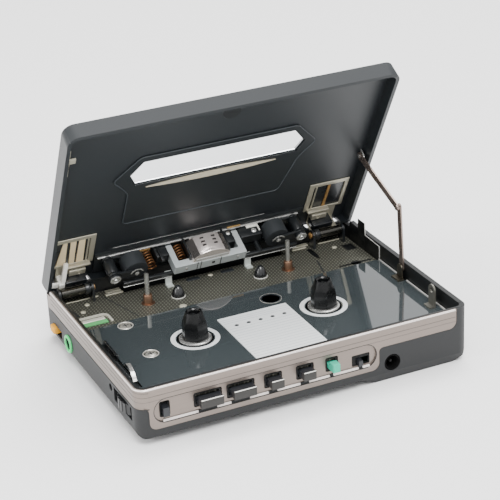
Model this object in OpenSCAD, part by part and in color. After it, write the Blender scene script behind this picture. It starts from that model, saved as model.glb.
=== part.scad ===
// Portable cassette player, lying on its back with the lid swung open.
// X runs to the right along the control edge, Y away from it towards the hinge, Z up.
// The origin is under the midpoint between the two reel spindles, on the surface it lies on.

/* [Case] */
// Width of the case
case_w = 105.6; // [104.6:0.2:112]
// Depth of the case from the control edge to the hinge edge
case_d = 78.2; // [77.8:0.2:84]
// Distance from the reel spindles to the control edge
spindle_front = 31; // [30.6:0.1:33]
// Shift of the case to the right of the spindles, which leaves room for the lid stay
side_shift = 0.8; // [0.6:0.1:1.2]
// Thickness of the plastic walls
wall = 1.6; // [1.4:0.1:1.8]
// Thickness of the plastic floor
floor_t = 1.2; // [1:0.1:1.6]
// Height of the battery bulge under the main floor
bulge_h = 2.5; // [2.2:0.1:3]
// Width of the battery bulge
bulge_w = 36; // [33:0.5:38]
// Radius of the upright corners
corner_r = 3.5; // [2.5:0.25:4]
// Radius of the lower right edge of the bulge
bulge_r = 6; // [5:0.25:6.5]
// Room between the main floor and the chassis plate
mech_h = 7; // [6.9:0.1:8]
// Height of the rim above the deck cover
rim_h = 5.3; // [5.2:0.1:6]
// Thickness of the metal control panel
panel_t = 0.8; // [0.6:0.05:0.9]

/* [Deck] */
// Thickness of the chassis plate
chassis_t = 1; // [0.8:0.1:1.4]
// Thickness of the deck cover
cover_t = 0.8; // [0.6:0.1:1]
// Distance from the capstans to the rear edge of the deck cover
cover_gap = 9.6; // [8.6:0.1:10.1]
// Width of the metal label plate
label_w = 22.8; // [18:0.2:23]
// Diameter of the holes for the reels
reel_hole_d = 11; // [10.4:0.1:12]

/* [Lid] */
// Depth of the lid from its rim to its outer face
lid_t = 5.2; // [5.1:0.1:6.5]
// Thickness of the lid's edge walls
lid_wall = 1.2; // [1:0.05:1.25]
// Thickness of the lid's main skin
lid_skin = 1; // [0.8:0.05:1.2]
// Angle that the lid stands open
open_angle = 60.5; // [50:0.5:62]
// Distance from the hinge pin to the rear face of the case
hinge_back = 6; // [5.8:0.1:6.6]
// Diameter of the hinge pins
hinge_pin_d = 1.4; // [1.2:0.1:1.6]
// Length of each hinge barrel
barrel_l = 9.4; // [8:0.2:9.6]
// Length of the lid window
window_l = 57; // [48:0.2:60]
// Height of the lid window
window_h = 9.3; // [7:0.1:10]

/* [Lid stay] */
// Length of the stay's upper link between its pivots
stay_upper_l = 25.45; // [25.3:0.05:25.6]
// Length of the stay's lower link between its pivots
stay_lower_l = 20.2; // [20.1:0.05:20.4]
// Distance of the upper pivot from the hinge pin, along the lid
stay_u = 30.6; // [30.5:0.1:30.8]
// Height of the upper pivot above the hinge pin when the lid is shut
stay_h = 4.9; // [4.7:0.1:5]
// Thickness of the stay links
stay_t = 0.5; // [0.4:0.05:0.55]
// Width of the stay links
stay_w = 2.2; // [1.8:0.1:2.3]

/* [Reels and capstans] */
// Distance between the reel spindles
reel_pitch = 42.5; // [42.5:0.1:42.7]
// Diameter of the spindles over their fins
spindle_d = 8; // [7:0.1:8.6]
// Height of the spindles above the deck cover
spindle_h = 9; // [8:0.1:9.2]
// Distance between the capstans
capstan_pitch = 48.2; // [47.8:0.1:49]
// Distance from the capstans back to the hinge pins
capstan_back = 11; // [10.5:0.1:11.5]
// Diameter of the capstan shafts
capstan_d = 1.4; // [1.2:0.1:2]
// Height of the capstans above the deck cover
capstan_h = 9.2; // [8:0.1:9.4]
// Diameter of the flywheels
flywheel_d = 21; // [18:0.2:21.6]
// Diameter of the pinch rollers
roller_d = 8; // [7.4:0.1:8.2]
// Height of the pinch rollers
roller_h = 5; // [4.4:0.1:5.2]

/* [Controls] */
// Distance from one large button to the next
button_pitch = 10.1; // [9.6:0.1:10.4]
// Width of the play and stop buttons
wide_button_w = 6.9; // [6:0.1:7.4]
// Width of the two winding buttons
narrow_button_w = 3.9; // [3.2:0.1:4.6]
// Width of the direction button
small_button_w = 2.3; // [1.8:0.1:3]
// Height of the buttons
button_h = 2.7; // [2.2:0.1:2.8]
// How far the buttons stand out of the panel
button_out = 3; // [2.4:0.1:4]
// Stroke of the buttons
button_stroke = 1.8; // [1:0.1:1.8]
// Diameter of the volume wheel
wheel_d = 17; // [15:0.2:17.4]
// Thickness of the volume wheel
wheel_t = 3.2; // [2.6:0.1:3.4]
// Diameter of the phone plug
phone_plug_d = 3.5; // [3.5:0.1:3.6]
// Diameter of the power plug
power_plug_d = 4; // [3.6:0.1:4.2]

/* [Power] */
// Width of the flat cell
cell_w = 16.7; // [15:0.1:16.8]
// Depth of the case that the flat cell leaves free at its ends
cell_room = 11.2; // [11:0.5:18]
// Thickness of the flat cell
cell_t = 6; // [5:0.1:6.1]
// Diameter of the motor
motor_d = 13; // [11:0.2:13.4]

/* [Hidden] */
$fn = 48;

// Clearances: running fits, sliding fits, seats between fixed pieces and gaps beside moving ones
run_fit = 0.06;
slide_fit = 0.2;
seat_fit = 0.05;
move_gap = 0.3;
eps = 0.01;

// Outline of the case
x_left = side_shift - case_w / 2;
x_right = side_shift + case_w / 2;
y_front = -spindle_front;
y_rear = y_front + case_d;
x_left_in = x_left + wall;
x_right_in = x_right - wall;
y_front_in = y_front + wall;
y_rear_in = y_rear - wall;
edge_r = 2;

// Levels
z_floor = bulge_h + floor_t;
z_chassis = z_floor + mech_h;
z_plate = z_chassis + chassis_t;
z_deck = z_plate + cover_t;
z_rim = z_deck + rim_h;
lid_gap = 0.15;
z_lid = z_rim + lid_gap;
z_lid_top = z_lid + lid_t;
z_lid_in = z_lid_top - lid_skin;

// Hinge line, and the part of the walls that is cut down behind it
hinge_y = y_rear - hinge_back;
rim_over_hinge = 2.05;
hinge_z = z_lid - rim_over_hinge;
rear_cut = 1.8;
rear_cut_y = hinge_y - 0.2;
lid_setback = 1.2;
relief_angle = open_angle + 3.5;
barrel_inset = 9.1;
barrel_x = case_w / 2 - barrel_inset;
barrel_r = hinge_pin_d / 2 + 0.7;
bracket_t = 0.8;
bracket_x_in = barrel_x - barrel_l / 2 - move_gap - bracket_t;
bracket_x_out = barrel_x + barrel_l / 2 + move_gap;

// Control panel and the shallow recess round the buttons
panel_low = z_deck - 0.9;
panel_drop = z_deck - 7.8;
power_r = 2.6;
power_inset = 25.9;
power_x = x_right - power_inset;
power_z = z_deck - 6.5;
panel_drop_l = x_left + 3.2;
panel_drop_r = power_x - power_r - 1.6;
panel_end = x_right - 4.2;
panel_corner = 2.4;
panel_fillet = 1.2;
recess_l = panel_drop_l + 1.6;
recess_r = panel_drop_r - 1.1;
recess_h = 7.3;
recess_depth = 0.5;
slot_margin = 0.9;
button_top = z_deck - 0.7;
button_z = button_top - button_h / 2;
stem_top = z_chassis - 0.2;
recess_z = button_z - 0.3;
first_button_x = -30.8;
small_pitch = 8.6;
button_x = [for (i = [0:4]) first_button_x + (i < 4 ? i * button_pitch : 3 * button_pitch + small_pitch)];
button_w = [wide_button_w, wide_button_w, narrow_button_w, narrow_button_w, small_button_w];
button_lip = 0.7;
lip_t = 1;

// Sliders and the volume wheel
open_x = recess_l + 3.35;
open_w = 1.9;
open_h = 2.8;
open_stroke = 1.2;
open_z = button_z - 0.55;
open_slot = [3.2, 4.9];
mode_x = recess_r - 5.5;
mode_w = 1.4;
mode_h = 1.9;
mode_stroke = 2.4;
mode_z = button_z - 1.65;
mode_slot = [5.8, 3.5];
knob_out = 0.9;
slider_plate_t = 0.8;
tone_y = hinge_y - 2.8;
tone_z = z_deck - 6.2;
tone_w = 3.6;
tone_h = 2.4;
tone_out = 1.2;
tone_stroke = 4;
wheel_out = 1;
wheel_x = x_left - wheel_out + wheel_d / 2;
wheel_y = y_front + 11.8;
wheel_z = z_chassis - 0.5 - wheel_t;
wheel_slot_l = 13.6;

// Jacks
phone_y = hinge_y - 15.2;
phone_z = z_deck - 5.8;
phone_r = 2.6;
jack_l = 11;
jack_body = 6;

// Battery bay and door
cell_x = x_right - bulge_r - cell_w + 0.1;
cell_y = y_front + 3;
cell_l = case_d - cell_room;
cell_z = floor_t + 0.2;
bay_gap = 0.3;
contact_t = 0.4;
door_t = 1;
door_lift = 0.1;
tongue = 0.8;
tongue_t = 0.4;
bulge_x = x_right - bulge_w;
bulge_slope = 5;
foot_d = 8;

// Drive under the deck
motor_x = x_left_in + 7.1;
motor_y = phone_y - 13.4;
motor_h = 3.6;
pulley_r = 2.2;
capstan_y = hinge_y - capstan_back;
flywheel_t = 2.4;
flywheel_z = z_chassis - 0.5 - flywheel_t;
belt_w = 0.8;
belt_t = 0.6;
belt_gap = 0.12;
belt_z = flywheel_z;
gear_r = 7.4;
gear_t = 1.3;
gear_z = z_chassis - 0.5 - gear_t;
post_r = 1;
board_z = z_floor + 1.5;

// Pieces on the chassis
bush_h = 3.1;
bush_wall = 0.7;
pin_x = 14.15;
pin_y = capstan_y - 0.4;
collar_r = 2.4;
collar_h = 0.5;
cone_r = 1.9;
cone_h = 3.3;
plug_x = 9.4;
cover_rear = capstan_y - cover_gap;
plug_y = cover_rear - 8.1;
plug_r = 3.3;
cover_edge = 0.6;
cover_left = x_left_in + 0.8;
screw_x = cover_left + 13.2;
screw_ys = [cover_rear - 23, cover_rear - 2.7];
screw_head_r = 1.8;
screw_seat_r = 2.3;
label_y0 = y_front_in + cover_edge;
label_y1 = plug_y - 5.3;
dot_y = label_y1 - 6.2;
label_t = 0.25;
label_x = 0.4;
dot_pitch = 3.95;
strip_x = x_left_in + 7.2;
strip_y = capstan_y - 5;
strip_l = 7.6;
strip_w = 2;
latch_x = x_left_in + 1.7;
latch_w = 2.7;
latch_y = y_front + 11.6;
latch_l = 15.8;
cable_y = latch_y + latch_l + 1;
cable_l = 12.6;
tab_x = 13.7;
tab_y = hinge_y - 2.2;
tab_w = 2.2;
tab_h = 4.9;
tab_t = 0.7;
rear_well_y = hinge_y - 0.2;
lug_r = 1.8;
lug_h = 5.4;
lug_t = 0.5;
rear_well_half = bracket_x_in - 9.9;

// Head block on the lid, in its shut place
frame_y0 = hinge_y - 19;
frame_y1 = hinge_y - 5.5;
frame_in = barrel_x - 7.3;
frame_out = barrel_x + 6.8;
frame_t = 0.4;
base_t = 0.8;
base_half = frame_in - 0.4;
base_front = hinge_y - 8.2;
base_rear = hinge_y + 0.4;
base_z = z_lid_in - base_t;
bracket_half = 12.3;
bracket_arm = 2;
bracket_bar = 2.4;
bracket_y = hinge_y - 5.4;
bracket_depth = 3.4;
bracket_z = hinge_z - 3.8;
head_w = 12.6;
head_h = 7;
head_z = hinge_z - 3.5;
head_front = hinge_y - 10;
head_round = 9;
post_x = 32;
post_y = hinge_y - 5.2;
guide_r = 1.9;
post_low = hinge_z - 3;
roller_x = 24.4;
roller_y = hinge_y - 4.5;
roller_z = hinge_z - 0.9;
arm_t = 0.8;
arm_w = 2.8;
arm_gap = 0.2;
axle_r = 0.7;
spring_r = 1.4;
spring_wire = 0.25;
spring_turns = 5;
spring_pitch = 1;
spring_xs = [-18.8, -8.45];
spring_y = hinge_y - 3.7;

// Stay: lower pivot, and the elbow that both links reach with the lid open
stay_x = x_right_in - 0.3 - stay_t;
stay_x_in = stay_x - 0.25 - stay_t;
stay_pin_r = 0.6;
stay_head = 0.3;
stay_foot_y = hinge_y - 36.1;
stay_foot_z = z_deck + 3.5;
lug_x = stay_x_in - stay_head - move_gap - lug_t;
lug_y = stay_foot_y - 21.5;

function lid_point(u, h, a) = [
  hinge_y - u * cos(a) + h * sin(a),
  hinge_z + u * sin(a) + h * cos(a)
];
function elbow_from(a, b, la, lb) =
  let (d = a - b, s = norm(d), along = (lb * lb - la * la + s * s) / (2 * s))
  let (out = sqrt(max(lb * lb - along * along, 0)))
  b + along * d / s + out * [-d[1], d[0]] / s;
stay_a = lid_point(stay_u, stay_h, open_angle);
stay_b = [stay_foot_y, stay_foot_z];
stay_e = elbow_from(stay_a, stay_b, stay_upper_l, stay_lower_l);

// Places on the inside of the lid, as distances from the hinge
window_u = 44.05;
lens_u = 37.3;
lens_l = 43;
lens_w = 2.2;
lens_x = -1.5;
lid_reach = hinge_y - y_front - lid_setback - lid_wall;
striker_l = 11;
striker_u1 = lid_reach - 4.8;
striker_u0 = striker_u1 - striker_l;

// Points of a coil spring's centre line: a straight end, the turns, and a straight end
rings = 8;
sides = 6;
spring_lead = 2 * spring_wire;
function coil_point(i, n) =
  let (k = min(max(i - 1, 0), n), a = 360 * k / rings)
  let (z = i == 0 ? 0 : spring_lead + spring_pitch * k / rings + (i > n + 1 ? spring_lead : 0))
  [spring_r * cos(a), spring_r * sin(a), z];
coil_n = spring_turns * rings;
coil_line = [for (i = [0:coil_n + 2]) coil_point(i, coil_n)];
spring_l = coil_line[coil_n + 2][2];
coil_gap = min([for (i = [0:coil_n + 2]) for (j = [i + rings - 1:1:coil_n + 2])
  norm(coil_line[j] - coil_line[i])]) - 2 * spring_wire;
echo(str("head spring least gap to itself: ", coil_gap, " mm"));

// Points along the drive belt, from pulleys given as [x, y, radius, side]
function run_angle(p, q) =
  let (d = [q[0] - p[0], q[1] - p[1]])
  atan2(d[1], d[0]) - asin((q[2] * q[3] - p[2] * p[3]) / norm(d));
function full(a) = (a % 360 + 360) % 360;
function turn_to(a, b, side) = side > 0 ? a + full(b - a) : a - full(a - b);
function belt_points(ps, steps = 12) =
  [for (i = [0:len(ps) - 1])
    let (p = ps[i], a = run_angle(ps[(i + len(ps) - 1) % len(ps)], p))
    let (b = turn_to(a, run_angle(p, ps[(i + 1) % len(ps)]), p[3]))
    for (k = [0:steps])
      let (t = a + (b - a) * k / steps)
      [p[0] + p[2] * p[3] * sin(t), p[1] - p[2] * p[3] * cos(t)]];
function belt_pulleys(inner, outer) = [
  [motor_x, motor_y, pulley_r + inner, 1],
  [capstan_pitch / 2, capstan_y, flywheel_d / 2 + inner, 1],
  [-capstan_pitch / 2, capstan_y, flywheel_d / 2 + outer, -1]
];

// Basic shapes, given by their limits along each axis
module box(x, y, z) {
  translate([x[0], y[0], z[0]]) cube([x[1] - x[0], y[1] - y[0], z[1] - z[0]]);
}
module rod_x(r, x, y, z) {
  translate([x[0], y, z]) rotate([0, 90, 0]) cylinder(r = r, h = x[1] - x[0]);
}
module rod_y(r, x, y, z) {
  translate([x, y[0], z]) rotate([-90, 0, 0]) cylinder(r = r, h = y[1] - y[0]);
}
module rod_z(r, x, y, z) {
  translate([x, y, z[0]]) cylinder(r = r, h = z[1] - z[0]);
}
module round_rect(x, y, r) {
  translate([x[0] + r, y[0]]) square([x[1] - x[0] - 2 * r, y[1] - y[0]]);
  translate([x[0], y[0] + r]) square([x[1] - x[0], y[1] - y[0] - 2 * r]);
  for (i = [0, 1], j = [0, 1])
    translate([x[i] + (i == 0 ? r : -r), y[j] + (j == 0 ? r : -r)]) circle(r = r);
}
module slab(x, y, z, r) {
  translate([0, 0, z[0]]) linear_extrude(z[1] - z[0]) round_rect(x, y, r);
}
// A shape drawn in X and Z and pushed through from y[0] to y[1]
module through_y(y) {
  translate([0, y[1], 0]) rotate([90, 0, 0]) linear_extrude(y[1] - y[0]) children();
}
// A shape drawn in Y and Z and pushed through from x[0] to x[1]
module through_x(x) {
  translate([x[0], 0, 0]) rotate([90, 0, 90]) linear_extrude(x[1] - x[0]) children();
}
// Everything that swings with the lid is drawn in its shut place and turned open
module on_lid() {
  translate([0, hinge_y, hinge_z]) rotate([-open_angle, 0, 0]) translate([0, -hinge_y, -hinge_z]) children();
}
module both_sides() {
  children();
  mirror([1, 0, 0]) children();
}

// Outline of the case seen from the control edge, with the battery bulge at the right
module case_profile() {
  translate([x_left + edge_r, bulge_h]) square([case_w - edge_r - bulge_r, z_rim - bulge_h]);
  translate([x_left, bulge_h + edge_r]) square([case_w / 2, z_rim - bulge_h - edge_r]);
  translate([side_shift, bulge_r]) square([case_w / 2, z_rim - bulge_r]);
  translate([x_left + edge_r, bulge_h + edge_r]) circle(r = edge_r);
  translate([x_right - bulge_r, bulge_r]) circle(r = bulge_r);
  polygon([[bulge_x, bulge_h + eps], [bulge_x + bulge_slope, 0], [x_right - bulge_r, 0],
    [x_right - bulge_r, bulge_h + eps]]);
}
module case_block() {
  intersection() {
    slab([x_left, x_right], [y_front, y_rear], [0, z_rim], corner_r);
    through_y([y_front, y_rear]) case_profile();
  }
}

// Area of the control panel on the front, and the band that runs on round the left side
module panel_front_area(g) {
  round_rect([x_left - corner_r, panel_end + g], [panel_low - g, z_rim + panel_corner + 1], panel_corner);
  round_rect([panel_drop_l - g, panel_drop_r + g], [panel_drop - g, z_rim], panel_corner);
  for (c = [[panel_drop_l - g, -1], [panel_drop_r + g, 1]]) translate([c[0], panel_low - g]) difference() {
    translate([c[1] > 0 ? -eps : -panel_fillet, -panel_fillet])
      square([panel_fillet + eps, panel_fillet + eps]);
    translate([c[1] * panel_fillet, -panel_fillet]) circle(r = panel_fillet);
  }
}
module panel_shape(t, g) {
  difference() {
    union() {
      intersection() {
        slab([x_left, x_right], [y_front, y_rear], [0, z_rim], corner_r);
        through_y([y_front - 1, y_front + corner_r + g]) panel_front_area(g);
      }
      intersection() {
        slab([x_left, x_right], [y_front, y_rear], [0, z_rim], corner_r);
        box([x_left - 1, x_left + corner_r + g], [y_front - 1, y_rear - corner_r + g],
          [panel_low - g, z_rim]);
      }
    }
    slab([x_left + t, x_right - t], [y_front + t, y_rear - t], [-1, z_rim + 1], corner_r - t);
  }
}
// Openings in the panel and the wall behind it
module control_holes(g) {
  for (i = [0:4])
    box([button_x[i] - button_w[i] / 2 - g, button_x[i] + button_w[i] / 2 + g],
      [y_front - 1, y_front_in + 1], [button_top - button_h - g, button_top + g]);
  box([open_x - open_w / 2 - g, open_x + open_w / 2 + g], [y_front - 1, y_front_in + 1],
    [open_z - open_h / 2 - g, open_z + open_h / 2 + open_stroke + g]);
  box([mode_x - mode_w / 2 - g, mode_x + mode_w / 2 + mode_stroke + g], [y_front - 1, y_front_in + 1],
    [mode_z - mode_h / 2 - g, mode_z + mode_h / 2 + g]);
}
// Wider slots in the metal panel, with the dark wall showing behind them
module panel_slots() {
  through_y([y_front - 1, y_front + panel_t + 1]) {
    for (i = [0:4])
      round_rect([button_x[i] - button_w[i] / 2 - slot_margin, button_x[i] + button_w[i] / 2 + slot_margin],
        [button_top - button_h - slot_margin, button_top + slot_margin], 0.6);
    round_rect([open_x - open_slot[0] / 2, open_x + open_slot[0] / 2],
      [open_z + 0.5 - open_slot[1] / 2, open_z + 0.5 + open_slot[1] / 2], 0.6);
    round_rect([mode_x + 0.6 - mode_slot[0] / 2, mode_x + 0.6 + mode_slot[0] / 2],
      [mode_z + 0.55 - mode_slot[1] / 2, mode_z + 0.55 + mode_slot[1] / 2], 0.4);
  }
}
// Chamfer under the control edge of the battery bulge
module bulge_chamfer() {
  through_x([bulge_x - 1, x_right + 1])
    polygon([[y_front - 1, -1], [y_front + 1.6, -1], [y_front - eps, 3], [y_front - 1, 3]]);
}
module door_plate(g) {
  box([cell_x - bay_gap - g, x_right + 1], [cell_y - g, cell_y + cell_l + g], [-1, door_t + g]);
  box([cell_x - bay_gap - g, x_right + 1], [cell_y - tongue - g, cell_y + cell_l + tongue + g],
    [door_t - tongue_t - g, door_t + g]);
}

module lower_case() {
  color("#50555a") difference() {
    union() {
      difference() {
        case_block();
        slab([x_left_in, x_right_in], [y_front_in, y_rear_in], [z_floor, z_rim + 1], corner_r - wall);
        box([cell_x - bay_gap, cell_x + cell_w + bay_gap], [cell_y - bay_gap - contact_t,
          cell_y + cell_l + bay_gap + contact_t], [door_t, z_floor + 1]);
      }
      // Ledges and bosses that carry the chassis, the board and the flywheels
      box([x_right_in - 1.4, x_right_in + eps], [-24, y_rear_in], [z_chassis - 2, z_chassis]);
      box([x_left_in - eps, x_left_in + 1.2], [-7, 18], [z_chassis - 1.5, z_chassis]);
      box([x_left_in - eps, x_left_in + 1.2], [y_rear_in - 4, y_rear_in + eps],
        [z_chassis - 1.5, z_chassis]);
      for (s = [-1, 1]) {
        rod_z(2, s * capstan_pitch / 2, capstan_y, [z_floor - eps, flywheel_z - 0.6]);
        rod_z(1.5, s * 12, -20, [z_floor - eps, board_z]);
      }
      // Feet that level the case with the bulge
      for (p = [[x_left + 12, y_front + 11], [x_left + 12, y_rear - 11.2], [0, 0]])
        rod_z(foot_d / 2, p[0], p[1], [0, bulge_h + eps]);
    }
    panel_shape(panel_t + seat_fit, seat_fit);
    control_holes(slide_fit);
    bulge_chamfer();
    door_plate(slide_fit);
    // Cut-down walls behind the hinge
    box([x_left - 1, x_right + 1], [rear_cut_y, y_rear + 1], [z_rim - rear_cut, z_rim + 1]);
    // Jacks, tone slider, small hole and volume wheel
    rod_x(phone_r + seat_fit, [x_left - 1, x_left_in + 1], phone_y, phone_z);
    rod_y(power_r + seat_fit, power_x, [y_front - 1, y_front_in + 1], power_z);
    box([x_left - 1, x_left_in + 1],
      [tone_y - tone_w / 2 - tone_stroke - slide_fit, tone_y + tone_w / 2 + slide_fit],
      [tone_z - tone_h / 2 - slide_fit, tone_z + tone_h / 2 + slide_fit]);
    rod_x(1.1, [x_left - 1, x_left_in + 1], wheel_y + 9.4, z_deck - 3.2);
    box([x_left - 1, x_left_in + 1], [wheel_y - wheel_slot_l / 2, wheel_y + wheel_slot_l / 2],
      [wheel_z - 0.5, wheel_z + wheel_t + 0.4]);
  }
}

module front_panel() {
  color("#b3aaa4") difference() {
    panel_shape(panel_t, 0);
    panel_slots();
    through_y([y_front - 1, y_front + recess_depth])
      round_rect([recess_l, recess_r], [recess_z - recess_h / 2, recess_z + recess_h / 2],
        recess_h / 2 - eps);
    box([x_left - 1, x_right], [rear_cut_y, y_rear + 1], [z_rim - rear_cut, z_rim + 1]);
  }
}

module battery_door() {
  color("#4b5055") intersection() {
    translate([0, 0, door_lift]) case_block();
    door_plate(0);
  }
}

module battery_cell() {
  color("#c8c2a8") slab([cell_x, cell_x + cell_w], [cell_y, cell_y + cell_l], [cell_z, cell_z + cell_t], 1);
}

module battery_contacts() {
  for (y = [cell_y - contact_t, cell_y + cell_l])
    color("#c9c2a0") box([cell_x + 4, cell_x + cell_w - 4], [y, y + contact_t], [door_t + 0.6, z_floor + 2]);
}

module circuit_board() {
  color("#3c6b4a") box([x_left_in + 16.4, power_x - power_r - 1.5], [y_front_in + 1.2, y_front_in + 19.9],
    [board_z, board_z + 0.8]);
}

module motor() {
  color("#a9aaa8") {
    rod_z(motor_d / 2, motor_x, motor_y, [z_floor, z_floor + motor_h]);
    rod_z(0.5, motor_x, motor_y, [z_floor + motor_h - eps, belt_z + belt_w + 0.4]);
  }
}
module motor_pulley() {
  color("#c2a55a") difference() {
    union() {
      rod_z(pulley_r, motor_x, motor_y, [belt_z - 0.3, belt_z + belt_w + 0.3]);
      rod_z(1.2, motor_x, motor_y, [z_floor + motor_h + 0.1, belt_z]);
    }
    rod_z(0.5 + run_fit, motor_x, motor_y, [0, z_deck]);
  }
}
module drive_belt() {
  color("#2a2a2a") translate([0, 0, belt_z]) linear_extrude(belt_w) difference() {
    polygon(belt_points(belt_pulleys(belt_gap + belt_t, belt_gap)));
    polygon(belt_points(belt_pulleys(belt_gap, belt_gap + belt_t)));
  }
}

// Fixed posts that the reels and the volume wheel turn on
module pivot_posts() {
  color("#b8b8b4") for (p = [[-reel_pitch / 2, 0, z_deck + 6], [reel_pitch / 2, 0, z_deck + 6],
      [wheel_x, wheel_y, z_chassis - 0.2]]) {
    rod_z(post_r, p[0], p[1], [z_floor, p[2]]);
    rod_z(2.2, p[0], p[1], [z_floor, z_floor + 1.2]);
  }
}

// Channel of the latch and the cable guide at the left, through the chassis and the cover
module latch_channel() {
  box([latch_x - slide_fit, latch_x + latch_w + slide_fit],
    [latch_y - slide_fit, cable_y + cable_l + slide_fit], [0, z_rim]);
}

module chassis_plate() {
  color("#6b6a60") difference() {
    slab([x_left_in + 0.2, x_right_in - 0.2], [y_front_in + 0.5, y_rear_in - 0.3], [z_chassis, z_plate], 1.6);
    for (s = [-1, 1]) {
      rod_z(reel_hole_d / 2, s * reel_pitch / 2, 0, [0, z_rim]);
      rod_z(capstan_d / 2 + bush_wall + seat_fit, s * capstan_pitch / 2, capstan_y, [0, z_rim]);
    }
    for (y = screw_ys) rod_z(0.8, screw_x, y, [0, z_rim]);
    // Open strip under the head block, which swings down with the lid
    box([-rear_well_half, rear_well_half], [rear_well_y, y_rear], [0, z_rim]);
    // Indicator window, keyhole slot, clearance slots
    box([strip_x - strip_l / 2 - 0.1, strip_x + strip_l / 2 + 0.1],
      [strip_y - strip_w / 2 - 0.1, strip_y + strip_w / 2 + 0.1], [0, z_rim]);
    box([x_right_in - 13, x_right_in - 1.6], [cover_rear + 2.3, cover_rear + 3.5], [0, z_rim]);
    rod_z(1.7, x_right_in - 7, cover_rear + 2.9, [0, z_rim]);
    box([x_right_in - 5, x_right_in - 1.4], [hinge_y - 8.2, hinge_y - 3.4], [0, z_rim]);
    translate([bracket_x_in, hinge_y]) linear_extrude(z_rim)
      polygon([[-2.3, -0.6], [-0.6, -0.6], [-0.6, -6.2], [-1.5, -9.4], [-2.5, -6.6]]);
    latch_channel();
  }
}

module deck_cover() {
  color("#43494c") difference() {
    slab([cover_left, x_right_in - cover_edge], [y_front_in + cover_edge, cover_rear], [z_plate, z_deck], 1);
    for (s = [-1, 1]) rod_z(reel_hole_d / 2, s * reel_pitch / 2, 0, [0, z_rim]);
    for (y = screw_ys) rod_z(screw_seat_r, screw_x, y, [0, z_rim]);
    rod_z(plug_r + seat_fit, plug_x, plug_y, [0, z_rim]);
    latch_channel();
  }
}

module label_plate() {
  color("#d0d2d3") difference() {
    box([label_x - label_w / 2, label_x + label_w / 2], [label_y0, label_y1], [z_deck, z_deck + label_t]);
    for (i = [-2:2]) rod_z(0.55, label_x + i * dot_pitch, dot_y, [z_deck - 1, z_rim]);
    rod_z(plug_r + 0.4, plug_x, plug_y, [z_deck - 1, z_rim]);
  }
}

module deck_screws() {
  color("#c9c9c4") for (y = screw_ys) difference() {
    union() {
      rod_z(screw_head_r, screw_x, y, [z_plate, z_plate + 0.7]);
      rod_z(0.75, screw_x, y, [z_chassis - 1.2, z_plate]);
    }
    box([screw_x - 1.1, screw_x + 1.1], [y - 0.2, y + 0.2], [z_plate + 0.35, z_rim]);
    box([screw_x - 0.2, screw_x + 0.2], [y - 1.1, y + 1.1], [z_plate + 0.35, z_rim]);
  }
}

module cover_plug() {
  color("#141718") difference() {
    rod_z(plug_r, plug_x, plug_y, [z_plate, z_deck + 0.05]);
    rod_z(plug_r - 0.5, plug_x, plug_y, [z_plate + 0.3, z_rim]);
  }
}

module indicator_strip() {
  color("#5a9f62") box([strip_x - strip_l / 2, strip_x + strip_l / 2],
    [strip_y - strip_w / 2, strip_y + strip_w / 2], [z_chassis - 0.6, z_plate + 0.2]);
}

// Bright keeper that holds the shut lid, in the channel at the left
module latch_keeper() {
  color("#c4c4c0") difference() {
    union() {
      box([latch_x, latch_x + latch_w], [latch_y, latch_y + latch_l], [z_chassis, z_plate + 0.3]);
      box([latch_x, latch_x + 0.6], [latch_y + 2.4, latch_y + latch_l - 2.4], [z_plate, z_deck + 2.6]);
    }
    box([latch_x - 1, latch_x + 1.7], [latch_y + 5.4, latch_y + latch_l - 5.4], [z_deck + 0.8, z_deck + 1.9]);
  }
}

module cable_guide() {
  color("#191c1e") {
    box([latch_x, latch_x + latch_w], [cable_y, cable_y + cable_l], [z_chassis, z_plate]);
    for (x = [latch_x, latch_x + 2]) box([x, x + 0.7], [cable_y + 1, cable_y + cable_l - 0.6],
      [z_plate - eps, z_deck + 1.6]);
  }
}

module side_lug() {
  color("#b9b9b4") difference() {
    union() {
      box([lug_x - 1.6, lug_x + lug_t], [lug_y - lug_r, lug_y + lug_r], [z_deck, z_deck + lug_t]);
      box([lug_x, lug_x + lug_t], [lug_y - lug_r, lug_y + lug_r], [z_deck, z_deck + lug_h]);
      rod_x(lug_r, [lug_x, lug_x + lug_t], lug_y, z_deck + lug_h);
    }
    rod_x(0.8, [lug_x - 1, lug_x + lug_t + 1], lug_y, z_deck + lug_h);
  }
}

module pin_collars() {
  color("#d8d8d2") both_sides() rod_z(collar_r, pin_x, pin_y, [z_plate, z_plate + collar_h]);
}
module locating_pins() {
  color("#15181a") both_sides() translate([pin_x, pin_y, z_plate + collar_h]) rotate_extrude()
    polygon([[0, 0], [cone_r, 0], [cone_r, 0.5], [1.65, 1.3], [1.2, cone_h - 0.9], [0.85, cone_h - 0.3],
      [0.4, cone_h], [0, cone_h]]);
}

module capstan_bushes() {
  color("#8d7563") both_sides() difference() {
    union() {
      rod_z(capstan_d / 2 + bush_wall, capstan_pitch / 2, capstan_y, [z_chassis - 0.3, z_plate + bush_h]);
      rod_z(capstan_d / 2 + bush_wall + 0.7, capstan_pitch / 2, capstan_y, [z_plate, z_plate + 0.5]);
    }
    rod_z(capstan_d / 2 + run_fit, capstan_pitch / 2, capstan_y, [0, z_lid_top]);
  }
}
module capstan(s) {
  color("#9a9a96") {
    rod_z(capstan_d / 2, s * capstan_pitch / 2, capstan_y, [flywheel_z - 0.55, z_deck + capstan_h]);
    rod_z(flywheel_d / 2, s * capstan_pitch / 2, capstan_y, [flywheel_z, flywheel_z + flywheel_t]);
  }
}

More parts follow.
